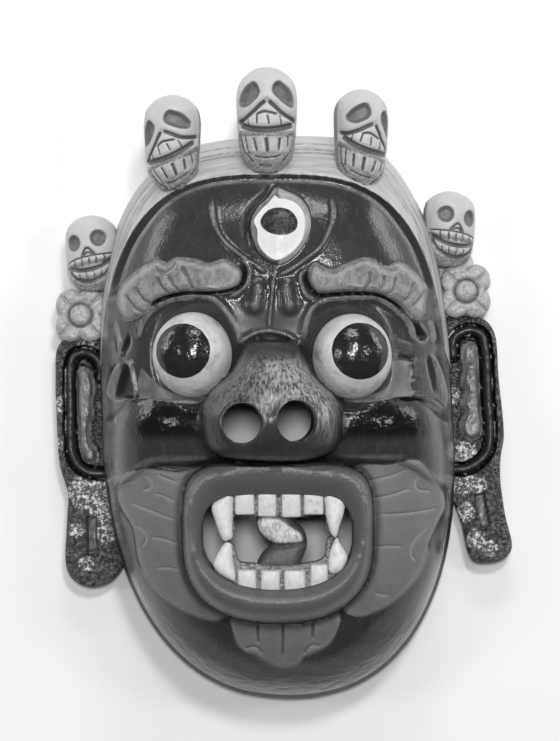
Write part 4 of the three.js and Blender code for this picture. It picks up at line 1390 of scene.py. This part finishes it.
# A petal's reach where two meet, how much further its tip goes, and how far it is drawn upwards.
PETAL, PETAL_TIP, PETAL_STRETCH = 13.4, 5.4, 1.08
SIDE_SKULL, SIDE_LEVEL = (34, 50, 30), 27.0
LEFT_EAR = dict(
    node="ear_left",
    board=((-104, 28), (-122, 32), (-141, 30.5), (-149, 24), (-150.6, 4), (-150, -20),
           (-147.8, -54), (-142.4, -74), (-143, -92), (-143, -124), (-136, -133), (-126, -136),
           (-114, -132), (-106, -123), (-96, -100)),
    strut=((-126, 74), (-106, 74), (-100, 20), (-134, 20), (-134, 40)),
    helix=((-120, 4), (-121.9, 13.7), (-126.1, 18.2), (-132.3, 20), (-137.6, 18.2), (-140.2, 12.8),
           (-140.8, 4.9), (-140.6, -16.4), (-140.6, -34.2), (-139.7, -46.6), (-135.8, -54.6),
           (-128.7, -59.4), (-118.1, -60.4), (-100, -60)),
    inner=((-137.1, 3.1), (-136.3, 8), (-133.7, 10.4), (-128.7, 9.1), (-125.2, 3.1), (-124.3, -5.8),
           (-125.9, -12.9), (-125.2, -21.7), (-126.9, -29.7), (-125.7, -40.4), (-122.5, -45.2),
           (-122.5, -50.5), (-126, -54.1), (-131.4, -52.8), (-134.1, -46.6), (-135.8, -36),
           (-136.7, -16.4)),
    slot=((-129.6, -88.6), (-123.6, -88.8), (-123.2, -110.6), (-129.4, -112.4)),
    studs=((-121.3, 2.7), (-121.9, -10.2), (-123, -33.3)),
    rosette=(-133.5, 44.6),
    painted_glints=((-128, -72, 13), (-116, -84, 12), (-130, 29, 6), (-146.5, -14, 5), (-145, -40, 5),
             (-137, -98, 5), (-112, -50, 6), (-116, -98, 8), (-130, -120, 5), (-127, -49, 5)),
    skull=((-126, 60.6), (-0.13, 0.2, 0)),
)
RIGHT_EAR = dict(
    node="ear_right",
    board=((98, 40), (112, 44), (133, 42.5), (140.4, 34), (143.6, 3), (147, -36), (145, -49),
           (144.7, -64), (147.7, -86.5), (152.2, -110), (147, -117), (137, -120), (126, -117.6),
           (118.5, -92), (112, -78), (96, -70)),
    strut=((124, 86), (100, 86), (100, 30), (128, 30), (130, 50)),
    helix=((113.4, 18), (113.4, 27.9), (117.8, 32.9), (125.8, 35), (132.3, 31.5), (135, 20.8),
           (136.4, -7.5), (137.8, -34.2), (136.4, -44.8), (131.1, -51.9), (123.1, -56.8),
           (116, -57.6), (102, -58)),
    inner=((118.1, 19), (120.1, 24.7), (124.9, 27.2), (129, 24), (130.4, 10.2), (131.8, -16.4),
           (133.1, -28.9), (131.6, -35), (125.8, -38.6), (119.9, -36.3), (117.4, -29.7),
           (118.1, -25.3), (120.6, -19.6), (118.1, -14.3), (120.5, -5.8), (117.8, -0.5),
           (119.9, 8.4)),
    slot=((127.4, -74.4), (133.8, -73.4), (137.6, -94.6), (132.2, -95.6)),
    studs=((113.6, 8), (113.2, -4)),
    rosette=(121.3, 60.6),
    painted_glints=((122, -46, 7), (125, -33, 5), (119, -66, 8), (130, -68, 5), (122, -86, 6),
             (128, -104, 6), (138, -110, 5), (112, -8, 6)),
    skull=((110.2, 76.6), (0.29, -0.16, 0)),
)


def board_height(ear):
    """An ear's outlines, and the height of its carved front."""
    board = smooth_path(ear["board"], True)
    helix = smooth_path(ear["helix"])
    inner = smooth_path(ear["inner"], True, 1.0)
    slot = np.array(ear["slot"] + ear["slot"][:1], float)

    def height(x, y):
        deep = depth_in(x, y, board, 6)
        z = BOARD_TOP - 2.2 * (1 - rounding(deep / 3))
        away, _ = near(x, y, helix, 9)
        z = z - CHANNEL * ease(5.0, 3.8, away)
        tube = np.sqrt(np.clip(1 - (away / TUBE) ** 2, 0, 1))
        z = z + TUBE_HEIGHT * tube * (away < TUBE)
        for cx, cy in ear["studs"]:
            q = ((x - cx) ** 2 + (y - cy) ** 2) / STUD ** 2
            z = np.maximum(z, BOARD_TOP - 2 + 4 * np.sqrt(np.clip(1 - q, 0, 1)) - 20 * (q > 1))
        strip = depth_in(x, y, inner, 7)
        z = z - 3.2 * ease(-2.6, -0.6, strip) * (1 - ease(-0.2, 0.3, strip))
        z = np.where(strip > -0.2, BOARD_TOP - 1.5 + 3.6 * ease(-0.4, 4.0, strip), z)
        pocket = depth_in(x, y, slot, 4)
        z = z - 6.5 * ease(-0.3, 0.5, pocket)
        z = z + 0.7 * np.exp(-((pocket + 1.3) / 0.8) ** 2)
        place = np.column_stack([x, y, z])
        return z + 0.5 * speckle(place, 6, 7) + 0.35 * speckle(place, 2.4, 8)

    return board, height, inner, helix, slot


def rosette(cx, cy, paint):
    """A flower of four petals round a domed boss."""
    turns = np.linspace(0, 2 * math.pi, 97)
    radius = PETAL + PETAL_TIP * np.abs(np.sin(2 * turns)) ** 0.8
    upward = PETAL_STRETCH * radius * np.sin(turns)
    path = np.column_stack([cx + radius * np.cos(turns), cy + upward])

    def height(x, y):
        gap = np.hypot(x - cx, y - cy)
        turn = np.arctan2(y - cy, x - cx)
        deep = depth_in(x, y, path, 5)
        z = ROSETTE_TOP - 3.0 * (1 - rounding(deep / 4))
        z = z - 2.0 * np.exp(-((gap - ROSETTE_RING) / 1.1) ** 2)
        z = z + 2.4 * np.sqrt(np.clip(1 - (gap / ROSETTE_BOSS) ** 2, 0, 1))
        split = np.abs(np.sin(2 * turn + math.pi / 2))
        z = z - 1.6 * np.exp(-(split * gap / 1.6) ** 2) * (gap > 8)
        place = np.column_stack([x, y, z])
        return z + 0.5 * speckle(place, 4, 9) + 0.3 * speckle(place, 1.8, 10)

    made = carved_block(path, height, BOARD_LOW, 0.65)
    made.data.materials.append(paint)
    return made


def make_ear(ear, lacquer, pale):
    """An ear board with the strut, rosette and small skull that stand on it, as one piece."""
    board, height, inner, helix, slot = board_height(ear)
    plate = carved_block(board, height, BOARD_LOW, 0.8)
    plate.data.materials.append(lacquer)
    strut = pillow(ear["strut"], BOARD_LOW, STRUT_TOP, pale, bulge=2, edge=4, spacing=2.0)
    flower = rosette(*ear["rosette"], pale)
    (sx, sy), gaze = ear["skull"]
    shape = ((sx, sy, SIDE_LEVEL), gaze, *SIDE_SKULL)
    cap = skull_piece(*shape, *SIDE_MESH, pale, SIDE_SOCKETS, SIDE_CUTS)
    counts = [len(p.data.vertices) for p in (plate, strut, flower, cap)]
    made = join(ear["node"], [plate, strut, flower, cap])
    data = coords(made.data)
    total = len(data)
    names = (*SKULL_MARKS, "tube", "strip", "channel", "painted_glints")
    store = {name: np.zeros(total) for name in names}
    x, y, z = data[:counts[0]].T
    board_part = slice(0, counts[0])
    front = ease(9, 12, z)
    strip = ease(-0.5, 0.5, depth_in(x, y, inner, 4)) * front
    away, _ = near(x, y, helix, 9)
    store["strip"][board_part] = strip
    store["tube"][board_part] = ease(TUBE + 0.4, TUBE, away) * (1 - strip) * front
    # The channel beside the tube is marked for its painted shade
    channel = ease(5.2, 4.4, away) * ease(TUBE, TUBE + 0.4, away)
    store["channel"][board_part] = channel * (1 - strip) * front
    store["strip"][board_part] = np.maximum(strip, 0.9 * ease(-0.4, 0.4, depth_in(x, y, slot, 3)))
    for cx, cy, radius in ear["painted_glints"]:
        patch = ease(1.4, 0.6, np.hypot(x - cx, y - cy) / radius) * front
        store["painted_glints"][board_part] = np.maximum(store["painted_glints"][board_part], patch)
    first = sum(counts[:2])
    last = first + counts[2]
    cx, cy = ear["rosette"]
    gap = np.hypot(data[first:last, 0] - cx, data[first:last, 1] - cy)
    store["jaw"][first:last] = 0.75
    # The rosette's ring groove gets the cuts' painted shade
    store["cutting"][first:last] = 0.6 * np.exp(-((gap - ROSETTE_RING) / 1.2) ** 2)
    skull_paint(made, slice(last, total), *shape, store, SIDE_SOCKETS, SIDE_CUTS)
    for name, values in store.items():
        paint_on(made.data, name, values)
    return finished(made, node=ear["node"])


def make_crown_skull(name, x, y, z, gaze, width, height, depth, paint):
    """One of the three skulls on the crown band."""
    shape = ((x, y, z), gaze, width, height, depth)
    made = skull_piece(*shape, *CROWN_MESH, paint, SKULL_SOCKETS, SKULL_CUTS)
    made.name = name
    total = len(made.data.vertices)
    store = {mark: np.zeros(total) for mark in SKULL_MARKS}
    skull_paint(made, slice(0, total), *shape, store, SKULL_SOCKETS, SKULL_CUTS)
    for mark, values in store.items():
        paint_on(made.data, mark, values)
    return finished(made, node=name)


def paint_head(made):
    """Marks where each paint, line and kind of wear lies on the head."""
    x, y, z = coords(made.data).T
    share, turn = face_polar(x, y)
    under = hollow_face(x, y)
    out = (share > OUTER_WALL) | (z > under + 0.45 * (bare_face(x, y) - under))
    left, right, _ = (np.interp(y, *table) for table in NOSE_TABLES)
    nose = ease(-2, 2, np.minimum(x - left, right - x)) * ease(-50, -46, y) * ease(28, 24, y)
    paint_on(made.data, "nose", np.where(out, nose, 0))
    paint_on(made.data, "bare", np.where(out, 0.0, 1.0))
    paint_areas(made, x, y, z, share, turn, out)
    paint_lines(made, x, y, share, out)
    paint_wear(made, x, y, share, nose, out)


def paint_areas(made, x, y, z, share, turn, out):
    """Painted areas, each as the distance inside its outline."""
    for name, edges in (("hair", HAIR_EDGES), ("brow", BROW_EDGES), ("lid", LID_EDGES)):
        deep = np.full(len(x), -3.0)
        for edge in edges:
            deep = np.maximum(deep, depth_in(x, y, edge, 3))
        if name == "hair":
            deep = np.minimum(deep, -depth_in(x, y, LIP_EDGE, 4) - 0.6)
        paint_on(made.data, name, np.where(out, deep, -3))
    for name, edge in (("third_white", THIRD_EDGES[0]), ("third_pupil", THIRD_EDGES[1])):
        paint_on(made.data, name, np.where(out, depth_in(x, y, edge, 3), -3))
    ring = depth_in(x, y, BAND_RING, 4)
    band = np.where(y > 0, -ring - 1.5, -4)
    band_end = y - 18 - 0.4 * (z - 45)
    band = np.minimum(band, np.clip(0.3 * band_end, -4, 4))
    paint_on(made.data, "band", np.where(out, band, -4))
    grain = np.column_stack([share * GRAIN_REACH, turn * GRAIN_REACH, z * 0.2])
    paint_vectors(made.data, "grain", grain)
    # The rim's pale paint reaches only its right side: a painted highlight
    rim = np.minimum(depth_in(x, y, THIRD_EDGES[2], 3), (x + 3) * 0.3)
    paint_on(made.data, "third_rim_highlight", np.where(out, rim, -3))
    paint_on(made.data, "lips", np.where(out, depth_in(x, y, LIP_EDGE, 4), -4))


def paint_lines(made, x, y, share, out):
    """Painted shade, near-black, in the grooves, pits and rim line, and fine cuts that show pale.
    """
    away, broad = groove_gap(x, y)
    gap = away - 1.3 - 1.3 * broad + 5 * ease(*GROOVE_END[::-1], y)
    edge_line = np.abs(share - RIM_LINE - 0.004) * 160
    gap = np.minimum(gap, edge_line - 1.6 + 4 * ease(-70, -50, y))
    for edge in PIT_EDGES:
        gap = np.minimum(gap, 1.3 - depth_in(x, y, edge, 4))
    for points in UNDER_BROWS:
        away, run = near(x, y, smooth_path(points), 6)
        gap = np.minimum(gap, away - 1.2 + 3 * ease(0.1, 0, run) + 3 * ease(0.1, 0, 1 - run))
    paint_on(made.data, "crease", np.where(out, -gap, -4))
    scratch = np.zeros(len(x))
    for points in ENGRAVED + BROW_CUTS:
        away, run = near(x, y, smooth_path(points), 3)
        ends = ease(0, 0.15, run) * ease(0, 0.15, 1 - run)
        scratch = np.maximum(scratch, ends * np.exp(-(away / 0.55) ** 2))
    paint_on(made.data, "scratch", np.where(out, scratch, 0))


def paint_wear(made, x, y, share, nose, out):
    """Painted shade and polish on cheeks and chin, a painted highlight on the nose, dull brow, worn
    ridges and painted shade in hollows.
    """
    # Cheeks and chin get a darker tone as painted shade, with broad bumps
    cheeks = ease(-54, -46, y) * ease(-4, -12, y) * (1 - nose) * ease(104, 92, np.abs(x + 3))
    cheeks *= ease(-38, -30, y)
    shade_and_polish = np.maximum(cheeks, ease(-140, -165, y) * ease(0.84, 0.9, share))
    # A painted highlight on the nose's front, and on its right wing
    nose_highlight = nose * ease(-20, -4, y) * ease(20, 8, y) * (0.4 + 0.6 * ease(-26, 2, x))
    flank = np.exp(-(((x - 26) / 6) ** 2 + ((y + 17) / 14) ** 2))
    nose_highlight = np.maximum(nose_highlight, nose * flank)
    paint_on(made.data, "nose_highlight", nose_highlight)
    paint_on(made.data, "shade_and_polish", shade_and_polish)
    dull = np.exp(-(((x + 7) / 22) ** 2 + ((y - 39) / 8) ** 2)) * (1 - nose)
    paint_on(made.data, "dull", dull)
    # Ridges over their close surroundings show wear; hollows under their wider ones get painted
    # shade
    worn, deep = relief_map(x, y)
    worn *= 1 - 0.8 * nose
    paint_on(made.data, "worn", np.where(out, worn, 0))
    paint_on(made.data, "deep", np.where(out, deep, 0))
    spark = np.zeros(len(x))
    for edge in SPARK_EDGES:
        spark = np.maximum(spark, ease(-1, 2, depth_in(x, y, edge, 4)))
    paint_on(made.data, "spark", spark)


shell = make_head()
shell.data.materials.clear()
paint_head(shell)
shell.data.materials.append(carved_lacquer())
eye_white = eye_paint()
balls = [ball(*centre, EYE_LEVEL, *EYEBALL, eye_white) for centre in (EYE_LEFT, EYE_RIGHT)]
head = join("head", [shell, *balls, *make_teeth(), make_tongue()])
finished(head, node="head")
lacquer, pale = pitted_lacquer(), pale_paint()
for size in CROWN_SKULLS:
    make_crown_skull(*size, pale)
for ear in (LEFT_EAR, RIGHT_EAR):
    make_ear(ear, lacquer, pale)

# ------------------------------------------------------------------ floor, light and camera, metres

FLOOR_REACH, FLOOR_TONE, FLOOR_ROUGH = 3.0, 0.85, 0.8
# Each light's name, place, size and power. The low ones draw grey bands on the lacquer.
LIGHTS = (
    ("front", (0.0, 0.22, 2.6), (0.25, 0.25), 26),
    ("main", (0.3, 0.95, 2.35), (0.3, 0.3), 22),
    ("left", (-1.75, 0.25, 2.05), (0.4, 0.4), 8),
    ("right", (1.75, 0.45, 2.05), (0.4, 0.4), 9),
    ("top", (0.1, 2.05, 1.3), (0.9, 0.35), 14),
    ("low left", (-1.9, 1.0, 0.2), (1.4, 0.36), 12),
    ("low right", (1.9, 1.0, 0.2), (1.4, 0.36), 12),
)
LIT_POINT = (0, 0, 0.08)
# The studio's own light, and how pale its walls look.
STUDIO_LIGHT, STUDIO_WALLS = 0.13, 0.85
CAMERA_PLACE = (-0.0024, 0.0116, 2.0)
LENS, SENSOR, FAR_LIMIT = 145.0, 36.0, 20


def lay_floor():
    bm = bmesh.new()
    bmesh.ops.create_grid(bm, x_segments=1, y_segments=1, size=FLOOR_REACH)
    floor = from_bmesh("floor", bm)
    material = bpy.data.materials.new("floor_white")
    material.use_nodes = True
    shader = material.node_tree.nodes["Principled BSDF"]
    shader.inputs["Base Color"].default_value = (FLOOR_TONE, FLOOR_TONE, FLOOR_TONE, 1)
    shader.inputs["Roughness"].default_value = FLOOR_ROUGH
    floor.data.materials.append(material)


def softbox(name, place, size, power):
    light = bpy.data.lights.new(name, "AREA")
    light.shape = "RECTANGLE"
    light.size, light.size_y = size
    light.energy = power
    made = bpy.data.objects.new(name, light)
    made.location = place
    made.rotation_euler = (Vector(LIT_POINT) - Vector(place)).to_track_quat("-Z", "Y").to_euler()
    made.visible_camera = False
    bpy.context.scene.collection.objects.link(made)


def light_studio():
    """Seven soft lights, which aren't seen themselves, in a pale, evenly lit studio."""
    for light in LIGHTS:
        softbox(*light)
    world = bpy.data.worlds.new("studio")
    world.use_nodes = True
    tree = world.node_tree
    back = tree.nodes["Background"]
    back.inputs["Color"].default_value = (1, 1, 1, 1)
    seen = tree.nodes.new("ShaderNodeLightPath")
    glow = tree.nodes.new("ShaderNodeMapRange")
    glow.inputs["To Min"].default_value = STUDIO_LIGHT
    glow.inputs["To Max"].default_value = STUDIO_WALLS
    tree.links.new(seen.outputs["Is Camera Ray"], glow.inputs["Value"])
    tree.links.new(glow.outputs[0], back.inputs["Strength"])
    bpy.context.scene.world = world


def set_camera():
    """A long lens straight above the mask, looking down on its face."""
    data = bpy.data.cameras.new("camera")
    data.lens = LENS
    data.sensor_width = SENSOR
    data.clip_end = FAR_LIMIT
    camera = bpy.data.objects.new("camera", data)
    camera.location = CAMERA_PLACE
    bpy.context.scene.collection.objects.link(camera)
    bpy.context.scene.camera = camera
    bpy.context.scene.view_settings.view_transform = "Standard"


lay_floor()
light_studio()
set_camera()
